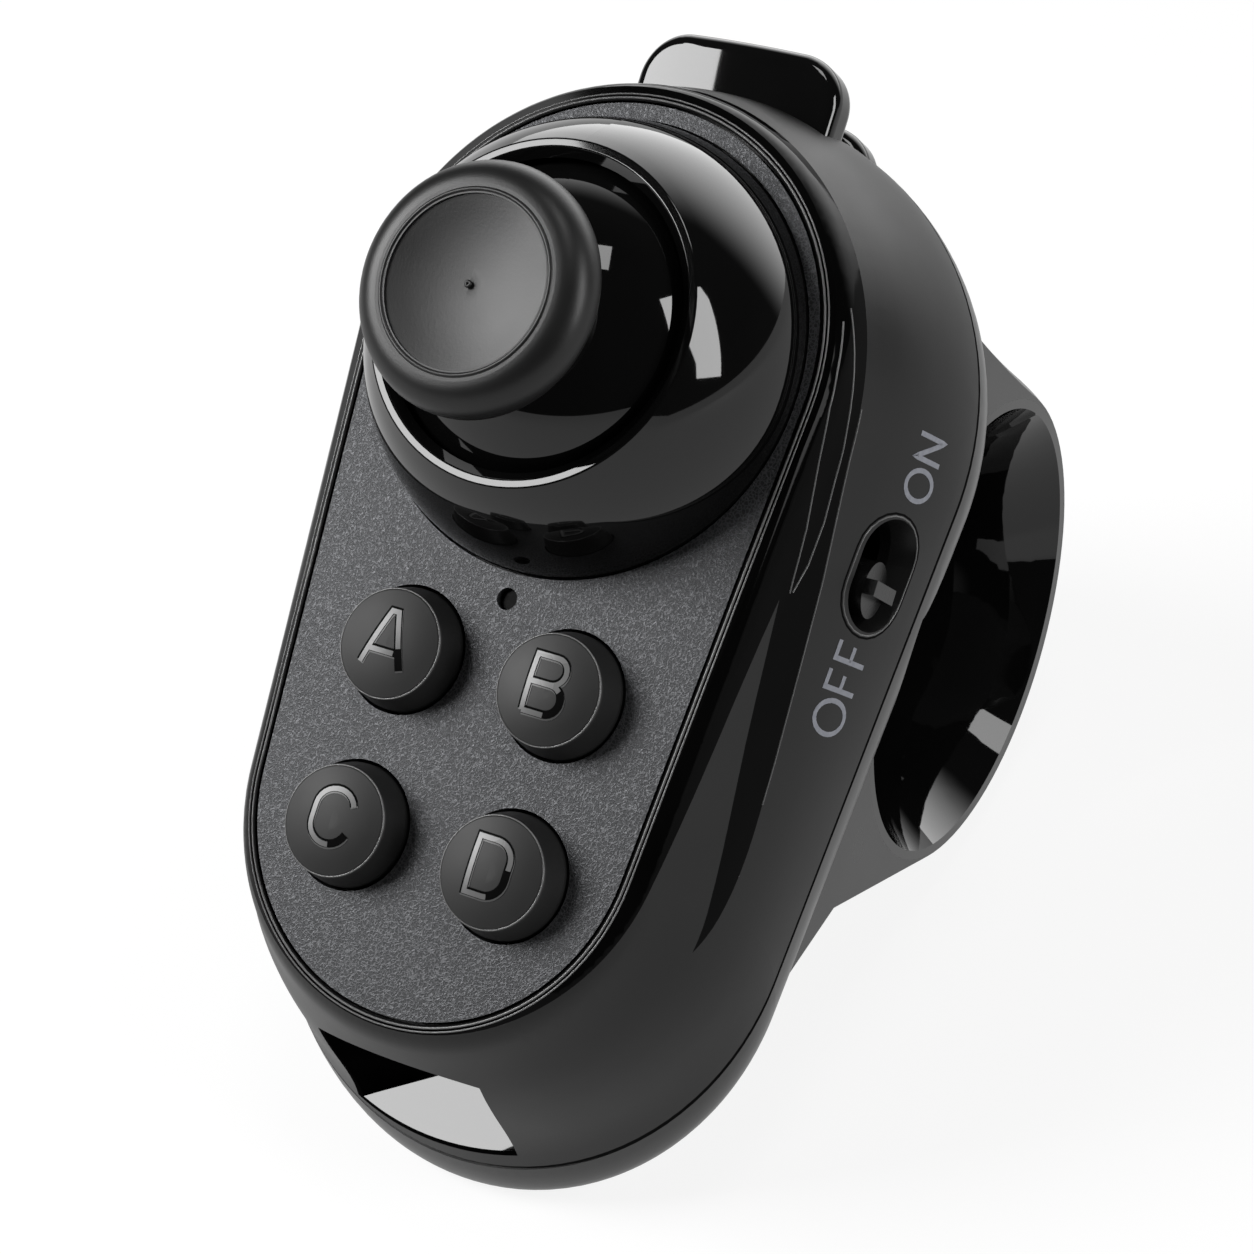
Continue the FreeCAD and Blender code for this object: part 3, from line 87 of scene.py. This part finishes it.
def on_stick(v):
    """The same for a place on the stick, which rests a little tilted."""
    return STICK_PIVOT + tipped(Vector(v) - STICK_PIVOT, STICK_REST_TILT)


def save_size(key, sizes):
    sizes[key] = [list(corner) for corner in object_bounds()]


sizes = {}
save_size("before", sizes)

# Materials


class Nodes:
    """Short words for building a node material."""

    def __init__(self, name):
        self.material = bpy.data.materials.new(name)
        self.material.use_nodes = True
        self.tree = self.material.node_tree
        self.shader = self.tree.nodes["Principled BSDF"]
        self.where = self.add("ShaderNodeTexCoord").outputs["Object"]

    def add(self, kind, **settings):
        node = self.tree.nodes.new(kind)
        for key, value in settings.items():
            setattr(node, key, value)
        return node

    def link(self, source, target):
        self.tree.links.new(source, target)

    def set(self, **values):
        for key, value in values.items():
            self.shader.inputs[key.replace("_", " ")].default_value = value

    def noise(self, size_mm, detail=2.0, roughness=0.5):
        node = self.add("ShaderNodeTexNoise")
        node.inputs["Scale"].default_value = 1 / (size_mm * MM)
        node.inputs["Detail"].default_value = detail
        node.inputs["Roughness"].default_value = roughness
        self.link(self.where, node.inputs["Vector"])
        return node.outputs["Fac"]

    def ramp(self, source, low, high, start=0.3, end=0.7):
        node = self.add("ShaderNodeMapRange")
        node.inputs["From Min"].default_value = start
        node.inputs["From Max"].default_value = end
        node.inputs["To Min"].default_value = low
        node.inputs["To Max"].default_value = high
        self.link(source, node.inputs["Value"])
        return node.outputs["Result"]

    def shades(self, source, low, high):
        node = self.add("ShaderNodeMix", data_type="RGBA")
        node.inputs["A"].default_value = (*low, 1)
        node.inputs["B"].default_value = (*high, 1)
        self.link(source, node.inputs["Factor"])
        self.link(node.outputs["Result"], self.shader.inputs["Base Color"])

    def bump(self, source, height_mm, under=None):
        node = self.add("ShaderNodeBump")
        node.inputs["Strength"].default_value = 1.0
        node.inputs["Distance"].default_value = height_mm * MM
        self.link(source, node.inputs["Height"])
        if under:
            self.link(under, node.inputs["Normal"])
        return node.outputs["Normal"]


def grained(name, low, high, roughness, grain_mm, height_mm, spread=0.06, **values):
    """A plastic or rubber with a fine grain, and slow changes of shade and gloss."""
    made = Nodes(name)
    slow = made.noise(6, 3)
    made.shades(made.ramp(slow, 0, 1), low, high)
    gloss = made.ramp(slow, roughness - spread, roughness + spread)
    made.link(gloss, made.shader.inputs["Roughness"])
    made.link(made.bump(made.noise(grain_mm, 2), height_mm), made.shader.inputs["Normal"])
    made.set(**values)
    return made.material


def grey(value, tint=0.0):
    return (value * (1 - tint), value * (1 - tint * 0.5), value * (1 + tint))


def plate_material():
    """Gunmetal paint over a fine maze-like texture."""
    cell, wave, reach = 0.21 * MM, 0.25 * MM, 0.3 * MM
    made = Nodes("plate_gunmetal")
    maze = made.add("ShaderNodeTexVoronoi", feature="DISTANCE_TO_EDGE")
    maze.inputs["Scale"].default_value = 1 / cell
    bend = made.add("ShaderNodeVectorMath", operation="MULTIPLY_ADD")
    wobble = made.add("ShaderNodeTexNoise")
    wobble.inputs["Scale"].default_value = 1 / wave
    made.link(made.where, wobble.inputs["Vector"])
    made.link(wobble.outputs["Color"], bend.inputs[0])
    bend.inputs[1].default_value = (reach, reach, reach)
    made.link(made.where, bend.inputs[2])
    made.link(bend.outputs["Vector"], maze.inputs["Vector"])
    ridge = made.ramp(maze.outputs["Distance"], 1, 0, 0.02, 0.17)
    made.shades(ridge, grey(0.046, 0.03), grey(0.104, 0.03))
    fine = made.noise(0.09, 2)
    made.link(made.ramp(fine, 0.40, 0.56), made.shader.inputs["Roughness"])
    first = made.bump(ridge, 0.010)
    made.link(made.bump(fine, 0.006, first), made.shader.inputs["Normal"])
    made.set(Metallic=0.75)
    return made.material


def window_material():
    """A dark insert with a polished floor, very slightly wavy, and a satin side wall."""
    made = Nodes("window_pane")
    facing = made.add("ShaderNodeVectorMath", operation="DOT_PRODUCT")
    made.link(made.add("ShaderNodeNewGeometry").outputs["True Normal"], facing.inputs[0])
    facing.inputs[1].default_value = tipped(WINDOW_FLOOR_SIDE, LEAN_ANGLE)
    shine = made.ramp(facing.outputs["Value"], 0.0, 0.5, 0.85, 0.95)
    made.link(shine, made.shader.inputs["Specular IOR Level"])
    made.shades(made.ramp(made.noise(4), 0, 1), grey(0.002), grey(0.004))
    made.link(made.ramp(made.noise(3), 0.01, 0.03), made.shader.inputs["Roughness"])
    made.link(made.bump(made.noise(8), 0.002), made.shader.inputs["Normal"])
    return made.material


def print_material():
    """White ink, thin enough to show the grain under it."""
    made = Nodes("print_ink")
    made.shades(made.ramp(made.noise(0.3), 0, 1), (0.26, 0.27, 0.31), (0.33, 0.34, 0.38))
    made.link(made.bump(made.noise(0.12), 0.002), made.shader.inputs["Normal"])
    made.set(Roughness=0.5)
    return made.material


def board_material():
    """Solder mask with a maze of tracks under it."""
    made = Nodes("board_mask")
    tracks = made.add("ShaderNodeTexBrick")
    tracks.inputs["Scale"].default_value = 900
    tracks.inputs["Mortar Size"].default_value = 0.03
    made.link(made.where, tracks.inputs["Vector"])
    made.shades(tracks.outputs["Fac"], (0.012, 0.085, 0.045), (0.03, 0.15, 0.08))
    made.link(made.bump(tracks.outputs["Fac"], 0.02), made.shader.inputs["Normal"])
    made.set(Roughness=0.3)
    return made.material


def metal_material(name, low, high, roughness):
    """Turned or pressed metal with fine marks."""
    made = Nodes(name)
    made.shades(made.ramp(made.noise(0.8, 4), 0, 1), low, high)
    marks = made.ramp(made.noise(0.3), roughness - 0.06, roughness + 0.08)
    made.link(marks, made.shader.inputs["Roughness"])
    made.link(made.bump(made.noise(0.1), 0.002), made.shader.inputs["Normal"])
    made.set(Metallic=1.0)
    return made.material


def clear_material():
    """Smoked clear plastic, dark while the status light is off."""
    made = Nodes("clear_plastic")
    made.shades(made.noise(1.5), grey(0.0005), grey(0.001))
    made.link(made.ramp(made.noise(0.5), 0.3, 0.4), made.shader.inputs["Roughness"])
    made.set(Specular_IOR_Level=0.04)
    return made.material


MATERIALS = {
    "matte_shell": grained("matte_shell", grey(0.008), grey(0.010), 0.40, 0.12, 0.0022, 0.03,
                           Specular_IOR_Level=0.34),
    "gloss_black": grained("gloss_black", grey(0.003), grey(0.004), 0.035, 9.0, 0.004, 0.01),
    "window": window_material(),
    "plate": plate_material(),
    "ring_shell": grained("ring_shell", grey(0.016), grey(0.020), 0.30, 0.14, 0.0016, 0.03),
    "rubber": grained("rubber", grey(0.008), grey(0.011), 0.38, 0.16, 0.004, 0.03,
                      Specular_IOR_Level=0.40),
    "buttons": grained("buttons", grey(0.012), grey(0.016), 0.50, 0.12, 0.0025, 0.04,
                       Specular_IOR_Level=0.34),
    "mat": grained("mat", (0.16, 0.16, 0.17), (0.20, 0.20, 0.21), 0.55, 0.3, 0.006),
    "board": board_material(),
    "steel": metal_material("steel", (0.52, 0.52, 0.53), (0.64, 0.64, 0.65), 0.28),
    "parts": grained("parts", grey(0.02), grey(0.03), 0.38, 0.1, 0.003),
    "cell": metal_material("cell", (0.60, 0.61, 0.63), (0.72, 0.73, 0.75), 0.34),
    "clear": clear_material(),
    "nylon": grained("nylon", (0.66, 0.65, 0.62), (0.72, 0.71, 0.68), 0.45, 0.3, 0.003),
}
INK = print_material()
# Near-black and barely reflecting: painted shade for the letters' walls, the gap round the face plate
# and the rim of the switch slot.
PAINTED_SHADE = grained("painted_shade_black", grey(0.0010), grey(0.0016), 0.50, 0.2, 0.001,
               Specular_IOR_Level=0.03)
# A lighter grey: painted highlight along the lower right side of each letter's groove.
HIGHLIGHT_LIP = grained("painted_highlight_lip", grey(0.05), grey(0.06), 0.40, 0.2, 0.001)
# A light grey: painted reflection of the key light on the letters' polished floors.
REFLECTION_FLOOR = grained("painted_reflection_floor", grey(0.12), grey(0.15), 0.28, 0.3, 0.001, 0.03)
TRIM = grained("trim_black", grey(0.002), grey(0.003), 0.06, 7.0, 0.003, 0.01,
               Specular_IOR_Level=0.05)
KNOB = grained("knob_black", grey(0.004), grey(0.006), 0.28, 0.2, 0.002, 0.03,
               Specular_IOR_Level=0.3)
# A light grey on fine beads over black plastic: painted highlights along moulded edges.
HIGHLIGHT_EDGE = grained("painted_highlight_edge", grey(0.13), grey(0.16), 0.18, 5.0, 0.001, 0.02)
OWN_MATERIALS = {"front_trim": TRIM, "power_knob": KNOB}


def finish_nodes():
    for entry in frame["record"]["subparts"]:
        node = frame["nodes"][entry["node"]]
        node.data.materials.clear()
        node.data.materials.append(OWN_MATERIALS.get(entry["node"]) or MATERIALS[entry["material_slot"]])


finish_nodes()

# Lettering and fine edges, swept along paths in millimetres


def spaced(points, step, closed=False):
    """The same path with extra points, so that it can follow a curved surface."""
    corners = [Vector(p) for p in points]
    if closed:
        corners.append(corners[0])
    path = []
    for a, b in zip(corners, corners[1:]):
        count = max(1, round((b - a).length / step))
        path += [a.lerp(b, n / count) for n in range(count)]
    if not closed:
        path.append(corners[-1])
    return path


def arc(centre, radius, first, last, count=12):
    """Points of a part circle in the plane, angles in degrees; radius may be a pair."""
    wide, high = radius if isinstance(radius, tuple) else (radius, radius)
    angles = [math.radians(first + (last - first) * n / count) for n in range(count + 1)]
    return [(centre[0] + wide * math.cos(a), centre[1] + high * math.sin(a)) for a in angles]


def across(path, ups, closed):
    """For each point the sideways direction, lengthened at corners as a mitre is."""
    sides = []
    last = len(path) - 1
    for n, (point, up) in enumerate(zip(path, ups)):
        before = path[n - 1] if n > 0 or closed else None
        after = path[(n + 1) % len(path)] if n < last or closed else None
        legs = []
        if before is not None:
            legs.append((point - before).normalized().cross(up).normalized())
        if after is not None:
            legs.append((after - point).normalized().cross(up).normalized())
        side = sum(legs, Vector()).normalized()
        sides.append(side / max(side.dot(legs[0]), 0.55))
    return sides


def sweep(name, runs, outline, material, body):
    """One piece made of an outline carried along several paths.

    A run is (path, ups, closed), and an outline point is (sideways, up) from the path.
    """
    build = bmesh.new()
    for path, ups, closed in runs:
        rings = []
        for point, up, side in zip(path, ups, across(path, ups, closed)):
            rings.append([build.verts.new(place(point + side * s + up * h)) for s, h in outline])
        pairs = list(zip(rings, rings[1:])) + ([(rings[-1], rings[0])] if closed else [])
        for a, b in pairs:
            for n in range(len(outline)):
                m = (n + 1) % len(outline)
                build.faces.new((a[n], a[m], b[m], b[n]))
        if not closed:
            build.faces.new(list(reversed(rings[0])))
            build.faces.new(rings[-1])
    bmesh.ops.recalc_face_normals(build, faces=build.faces)
    mesh = bpy.data.meshes.new(name)
    build.to_mesh(mesh)
    build.free()
    mesh.polygons.foreach_set("use_smooth", [True] * len(mesh.polygons))
    mesh.set_sharp_from_angle(angle=math.radians(SHARP_ANGLE))
    mesh.materials.append(material)
    piece = bpy.data.objects.new(name, mesh)
    bpy.context.scene.collection.objects.link(piece)
    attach(piece, body)
    return piece


def flat_outline(half_width, height):
    """A flat strip that stands a little off a surface and sinks a little into it."""
    return ((-half_width, -PRINT_SINK), (-half_width, height),
            (half_width, height), (half_width, -PRINT_SINK))


def bead_outline(radius, count=8):
    """A half round bead on a surface."""
    return tuple((-radius * math.cos(math.pi * n / count), radius * math.sin(math.pi * n / count))
                 for n in range(count + 1))


# Strokes of the button letters: x to the right and y up from the button's middle
BUTTON_LETTERS = {
    "a": [([(-1.32, -1.62), (-0.22, 1.62), (0.22, 1.62), (1.32, -1.62)], False),
          ([(-1.0, -0.72), (1.0, -0.72)], False)],
    "b": [([(-1.05, -1.62), (-1.05, 1.62)] + arc((0.25, 0.85), 0.77, 90, -90)
           + [(-1.05, 0.08)], False),
          ([(0.25, 0.08)] + arc((0.32, -0.77), 0.85, 90, -90) + [(-1.05, -1.62)], False)],
    "c": [(arc((0.05, 0.48), (1.24, 1.12), 18, 180)
           + arc((0.05, -0.48), (1.24, 1.12), 180, 342), False)],
    "d": [([(-1.10, -1.59), (-1.10, 1.59)] + arc((0.02, 0.47), (1.16, 1.12), 90, 0)
           + arc((0.02, -0.47), (1.16, 1.12), 0, -90), True)],
}
LETTER_SHIFT = (-0.05, 0.22)
BUTTON_PLACES = {"a": (-5.92, 5.26), "b": (-5.92, -5.26), "c": (-16.38, 5.26), "d": (-16.38, -5.26)}
BUTTON_TOP = 2.4
CROWN = 13.0
BEAD_RADIUS = 3.17
BEAD_HEIGHT = 1.95
# Past this line toward a letter's lower right the floor's painted reflection gives way to painted shade.
LIT_LIMIT = 1.15


def lit_parts(points, closed):
    """The parts of a stroke away from the letter's lower right, where the floor's painted reflection is
    drawn; the lower right stays black as painted shade.
    """
    lit = [p.x - p.y * 0.5 < LIT_LIMIT for p in points]
    if all(lit):
        return [(points, closed)]
    order = list(range(len(points)))
    if closed:
        gap = lit.index(False)
        order = order[gap:] + order[:gap]
    parts, part = [], []
    for n in order + [None]:
        if n is not None and lit[n]:
            part.append(points[n])
        elif part:
            parts.append((part, False))
            part = []
    return [(part, False) for part, _ in parts if len(part) > 2]


def crown_run(letter, flat, closed, shift):
    """A letter's stroke laid on the button's crown, moved by a shift in its own plane."""
    x, y = BUTTON_PLACES[letter]
    centre = Vector((x, y, BUTTON_TOP - CROWN))
    path, ups = [], []
    for point in flat:
        right, up = point.x + shift[0] + LETTER_SHIFT[0], point.y + shift[1] + LETTER_SHIFT[1]
        rise = math.sqrt(CROWN ** 2 - right ** 2 - up ** 2)
        ups.append(Vector((up, -right, rise)).normalized())
        path.append(centre + ups[-1] * CROWN)
    return path, ups, closed


def button_letters():
    """Engraved letters: a lighter lip as painted highlight and a black wall as painted shade round a
    light floor that is a painted reflection.
    """
    for letter, strokes in BUTTON_LETTERS.items():
        body = f"button_{letter}"
        # The lip's painted highlight is shifted toward the lower right and the wall's painted shade
        # toward the upper left.
        for name, material, half, height, shift in (
            ("lip", HIGHLIGHT_LIP, 0.235, 0.022, (0.035, -0.055)),
            ("wall", PAINTED_SHADE, 0.235, 0.030, (-0.02, 0.03)),
            ("floor", REFLECTION_FLOOR, 0.150, 0.038, (0.01, -0.02)),
        ):
            paths = [(spaced([(a, b, 0) for a, b in stroke], 0.16, closed), closed)
                     for stroke, closed in strokes]
            if name == "floor":
                paths = [part for points, closed in paths for part in lit_parts(points, closed)]
            runs = [crown_run(letter, points, closed, shift) for points, closed in paths]
            sweep(f"letter_{letter}_{name}", runs, flat_outline(half, height), material, body)


button_letters()


def button_beads():
    """The fine moulded edge round each button's top, light grey as a painted highlight."""
    for letter, (x, y) in BUTTON_PLACES.items():
        path = [Vector((a, b, BEAD_HEIGHT)) for a, b in arc((x, y), BEAD_RADIUS, 0, 355, 71)]
        run = (path, [Vector((0, 0, 1))] * len(path), True)
        body = f"button_{letter}"
        sweep(f"button_bead_{letter}", [run], bead_outline(0.055), HIGHLIGHT_EDGE, body)


button_beads()


def surface_of(node):
    mesh = frame["nodes"][node].data
    return BVHTree.FromPolygons([v.co for v in mesh.vertices], [p.vertices for p in mesh.polygons])


def draped(surface, start, direction):
    """Where a ray from a place on the remote meets a surface, and the surface's outward side."""
    aim = tipped(direction, LEAN_ANGLE)
    point, normal, _, _ = surface.ray_cast(place(start), aim)
    if point is None:
        raise RuntimeError(f"nothing to print on at {tuple(start)}")
    if normal.dot(aim) > 0:
        normal.negate()
    return unplace(point), tipped(normal, -LEAN_ANGLE)


def letter_o(wide, high):
    return [(arc((wide / 2, high / 2), (wide / 2, high / 2), 0, 345, 23), True)]


def letter_n(wide, high):
    return [([(0, 0), (0, high), (wide, 0), (wide, high)], False)]


def letter_f(wide, high):
    arm = ([(0, high * 0.5), (wide * 0.85, high * 0.5)], False)
    return [([(0, 0), (0, high), (wide, high)], False), arm]


def side_print():
    """ON and OFF beside the power switch, reading toward the stick."""
    surface = surface_of("upper_shell")
    words = {
        "on": ((10.55, -9.75), [(0, letter_o(1.75, 2.25)), (2.35, letter_n(1.35, 2.25))]),
        "off": ((-3.55, -9.6), [(0, letter_o(1.95, 2.6)), (2.55, letter_f(1.05, 2.6)),
                                (4.25, letter_f(1.05, 2.6))]),
    }
    for word, ((x, z), letters) in words.items():
        runs = []
        for along, strokes in letters:
            for stroke, closed in strokes:
                flat = spaced([(x + along + a, -30, z + b) for a, b in stroke], 0.2, closed)
                hits = [draped(surface, point, (0, 1, 0)) for point in flat]
                runs.append(([h[0] for h in hits], [h[1] for h in hits], closed))
        sweep(f"print_{word}", runs, flat_outline(0.15, 0.014), INK, "base")


side_print()


def egg_run(outline_sizes, z, growth):
    """An egg outline, grown and at a height: two round ends and straight sides."""
    x_stick, r_stick, x_nose, r_nose = outline_sizes
    tilt = math.degrees(math.asin((r_stick - r_nose) / (x_stick + x_nose)))
    outline = arc((x_stick, 0), r_stick + growth, -90 - tilt, 90 + tilt, 48)
    outline += arc((-x_nose, 0), r_nose + growth, 90 + tilt, 270 - tilt, 48)
    path = spaced([(a, b, z) for a, b in outline], 0.9, True)
    return path, [Vector((0, 0, 1))] * len(path), True


def rim_lines():
    """The gap round the face plate, a black strip of painted shade, and the two edges of the trim
    outside it, light grey beads of painted highlight.
    """
    for name, growth, outline, material in (
        ("gap", 0.20, flat_outline(0.055, 0.012), PAINTED_SHADE),
        ("inner_edge", 0.31, bead_outline(0.07), HIGHLIGHT_EDGE),
        ("outer_edge", 0.54, bead_outline(0.05), HIGHLIGHT_EDGE),
    ):
        run = egg_run(PLATE_OUTLINE, 0.0, growth)
        sweep(f"rim_{name}", [run], outline, material, "base")


rim_lines()


def draped_run(surface, points, side, closed):
    """A path given in side view, x and z, laid on a surface from one side."""
    flat = spaced([(x, side * 30, z) for x, z in points], 0.4, closed)
    hits = [draped(surface, point, (0, -side, 0)) for point in flat]
    return [h[0] for h in hits], [h[1] for h in hits], closed


def slot_path(growth):
    """The power switch's slot in side view, grown a little."""
    x, z, run, radius = 5.9, -8.3, 1.05, 2.1 + growth
    return arc((x + run, z), radius, -90, 90) + arc((x - run, z), radius, 90, 270)


# Side views, x and z, of the trim's blade: its lower edge and the two lines that carry painted
# highlights
BLADE_EDGE = ((-12.6, -5.88), (-9.6, -5.78), (-6.0, -5.47), (-0.8, -4.88), (4.4, -4.27),
              (11.0, -3.17), (14.0, -2.75))
BLADE_CREASE = ((18.1, -0.35), (15.3, -0.36), (13.3, -0.5), (10.5, -1.09), (6.7, -2.02), (3.1, -2.5))
BLADE_SHINE = ((3.2, -2.68), (4.9, -3.0), (7.4, -3.0), (11.5, -2.47), (14.2, -1.85), (17.1, -1.25),
               (19.0, -0.85))


def edge_lines():
    """Fine light grey beads of painted highlight on moulded edges: blades, switch slot and seam; and a
    black strip of painted shade round the slot.
    """
    shell = surface_of("upper_shell")
    trim = surface_of("front_trim")
    for name, side in (("near", -1), ("far", 1)):
        edge = draped_run(shell, BLADE_EDGE, side, False)
        sweep(f"blade_edge_{name}", [edge], bead_outline(0.05), HIGHLIGHT_EDGE, "base")
        lines = [draped_run(trim, points, side, False) for points in (BLADE_CREASE, BLADE_SHINE)]
        sweep(f"blade_lines_{name}", lines, bead_outline(0.06), HIGHLIGHT_EDGE, "base")
    lip = draped_run(shell, slot_path(0.36), -1, True)
    sweep("slot_lip", [lip], bead_outline(0.05), HIGHLIGHT_EDGE, "base")
    shade = draped_run(shell, slot_path(0.52), -1, True)
    sweep("slot_shade", [shade], flat_outline(0.06, 0.008), PAINTED_SHADE, "base")
    seam = egg_run(SEAM_OUTLINE, SEAM_HEIGHT, -0.02)
    sweep("seam_edge", [seam], bead_outline(0.05), HIGHLIGHT_EDGE, "base")


edge_lines()


def ring_run(height, radius, count=72):
    """A circle round the stick's axis."""
    path = [on_stick((STICK_PIVOT.x + radius * math.cos(2 * math.pi * n / count),
                      radius * math.sin(2 * math.pi * n / count), height))
            for n in range(count)]
    up = tipped((0, 0, 1), STICK_REST_TILT)
    return path, [up] * count, True


def cap_details():
    """The thumb cap's raised bead round its dish, and the moulded pip in the middle."""
    bead = [ring_run(14.72, 5.02)]
    sweep("cap_bead", bead, bead_outline(0.16), MATERIALS["rubber"], "stick")
    pip = [ring_run(14.33, 0.12, 16)]
    sweep("cap_pip", pip, bead_outline(0.10), MATERIALS["rubber"], "stick")


cap_details()

# Floor, light and camera

AIM = Vector((-0.003068, -0.0016632, 0.0260454))
CAMERA_PLACE = (-0.1155715, -0.081197, 0.1414283)
CAMERA_BACK = (-0.626, -0.4426, 0.642)
CAMERA_RIGHT = (0.4913, -0.8632, -0.116)
LENS_MM = 86.12
SENSOR_MM = 36
GROUND_HALF = 3.0
GROUND_LIGHT = {"camera": 0.86, "mirror": 0.62, "other": 0.22}
WORLD_LIGHT = {"camera": 1.0, "mirror": 1.0, "other": 0.35}
WORLD_GLOW = {"azimuth": 4, "elevation": 0, "inner": 10, "outer": 54, "radiance": 3.4}
WORLD_DIM = 0.03
# Name, azimuth, elevation, distance, width, height, radiance, roll
SOFT_LIGHTS = (
    ("window_left", 119, 39, 0.60, 0.28, 0.30, 13.0, 0),
    ("window_top", -65, 82, 0.60, 0.15, 0.15, 6.0, 0),
    ("strip_right", -87, 25, 0.60, 0.14, 0.40, 9.5, -28),
)


def by_ray(tree, camera, mirror, other):
    """A number that depends on what looks: the camera, a mirrored ray or any other ray."""
    path = tree.nodes.new("ShaderNodeLightPath")
    value = None
    for output, amount in (("Is Camera Ray", camera), ("Is Glossy Ray", mirror)):
        node = tree.nodes.new("ShaderNodeMath")
        node.operation = "MULTIPLY_ADD"
        tree.links.new(path.outputs[output], node.inputs[0])
        node.inputs[1].default_value = amount - other
        if value is None:
            node.inputs[2].default_value = other
        else:
            tree.links.new(value, node.inputs[2])
        value = node.outputs["Value"]
    return value


def white_ground():
    """A wide white sheet that keeps the remote's soft shadow."""
    mesh = bpy.data.meshes.new("ground")
    build = bmesh.new()
    bmesh.ops.create_grid(build, x_segments=2, y_segments=2, size=GROUND_HALF)
    build.to_mesh(mesh)
    build.free()
    ground = bpy.data.objects.new("ground", mesh)
    bpy.context.scene.collection.objects.link(ground)
    made = Nodes("ground_white")
    made.shades(made.noise(40), grey(0.17), grey(0.18))
    made.set(Roughness=0.9, Specular_IOR_Level=0.0, Emission_Color=(1, 1, 1, 1))
    made.link(by_ray(made.tree, **GROUND_LIGHT), made.shader.inputs["Emission Strength"])
    mesh.materials.append(made.material)
    ground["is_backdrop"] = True


def lobe(tree, direction, azimuth, elevation, inner, outer, radiance):
    """Light from the world within an angle of one direction, fading between two angles."""
    around, up = math.radians(azimuth), math.radians(elevation)
    toward = (math.cos(up) * math.cos(around), math.cos(up) * math.sin(around), math.sin(up))
    dot = tree.nodes.new("ShaderNodeVectorMath")
    dot.operation = "DOT_PRODUCT"
    dot.inputs[1].default_value = toward
    tree.links.new(direction, dot.inputs[0])
    fade = tree.nodes.new("ShaderNodeMapRange")
    fade.interpolation_type = "SMOOTHSTEP"
    fade.inputs["From Min"].default_value = math.cos(math.radians(outer))
    fade.inputs["From Max"].default_value = math.cos(math.radians(inner))
    fade.inputs["To Max"].default_value = radiance
    tree.links.new(dot.outputs["Value"], fade.inputs["Value"])
    return fade.outputs["Result"]


def world_light():
    """White where the camera looks past the ground; a pale backdrop behind, dim elsewhere."""
    world = bpy.data.worlds.new("studio")
    world.use_nodes = True
    tree = world.node_tree
    tree.nodes.clear()
    path = tree.nodes.new("ShaderNodeLightPath")
    seen = tree.nodes.new("ShaderNodeBackground")
    seen.inputs["Color"].default_value = (1, 1, 1, 1)
    around = tree.nodes.new("ShaderNodeBackground")
    direction = tree.nodes.new("ShaderNodeTexCoord").outputs["Generated"]
    glow = lobe(tree, direction, **WORLD_GLOW)
    total = tree.nodes.new("ShaderNodeMath")
    total.operation = "ADD"
    total.inputs[1].default_value = WORLD_DIM
    tree.links.new(glow, total.inputs[0])
    dimmed = tree.nodes.new("ShaderNodeMath")
    dimmed.operation = "MULTIPLY"
    tree.links.new(total.outputs["Value"], dimmed.inputs[0])
    tree.links.new(by_ray(tree, **WORLD_LIGHT), dimmed.inputs[1])
    tree.links.new(dimmed.outputs["Value"], around.inputs["Strength"])
    around.inputs["Color"].default_value = (1, 1, 1, 1)
    mix = tree.nodes.new("ShaderNodeMixShader")
    out = tree.nodes.new("ShaderNodeOutputWorld")
    tree.links.new(path.outputs["Is Camera Ray"], mix.inputs["Fac"])
    tree.links.new(around.outputs["Background"], mix.inputs[1])
    tree.links.new(seen.outputs["Background"], mix.inputs[2])
    tree.links.new(mix.outputs["Shader"], out.inputs["Surface"])
    bpy.context.scene.world = world


def soft_light(name, azimuth, elevation, distance, width, height, radiance, roll):
    """A softbox seen from the remote at an azimuth from +X toward +Y and an elevation."""
    light = bpy.data.lights.new(name, "AREA")
    light.shape = "RECTANGLE"
    light.size = width
    light.size_y = height
    light.energy = radiance * math.pi * width * height
    lamp = bpy.data.objects.new(name, light)
    bpy.context.scene.collection.objects.link(lamp)
    around, up = math.radians(azimuth), math.radians(elevation)
    toward = Vector((math.cos(up) * math.cos(around), math.cos(up) * math.sin(around), math.sin(up)))
    lamp.location = AIM + toward * distance
    turn = toward.to_track_quat("Z", "Y") @ Matrix.Rotation(math.radians(roll), 3, "Z").to_quaternion()
    lamp.rotation_euler = turn.to_euler()


def stand_camera():
    """The photograph's view point, found from the outlines of the remote."""
    lens = bpy.data.cameras.new("camera")
    lens.lens = LENS_MM
    lens.sensor_width = SENSOR_MM
    lens.clip_start = 0.01
    lens.clip_end = 20
    camera = bpy.data.objects.new("camera", lens)
    bpy.context.scene.collection.objects.link(camera)
    back = Vector(CAMERA_BACK).normalized()
    right = Vector(CAMERA_RIGHT)
    right = (right - back * right.dot(back)).normalized()
    up = back.cross(right)
    turn = Matrix((right, up, back)).transposed()
    camera.matrix_world = Matrix.Translation(CAMERA_PLACE) @ turn.to_4x4()
    bpy.context.scene.camera = camera


white_ground()
world_light()
for settings in SOFT_LIGHTS:
    soft_light(*settings)
stand_camera()

scene = bpy.context.scene
scene.view_settings.view_transform = "Standard"

save_size("after", sizes)
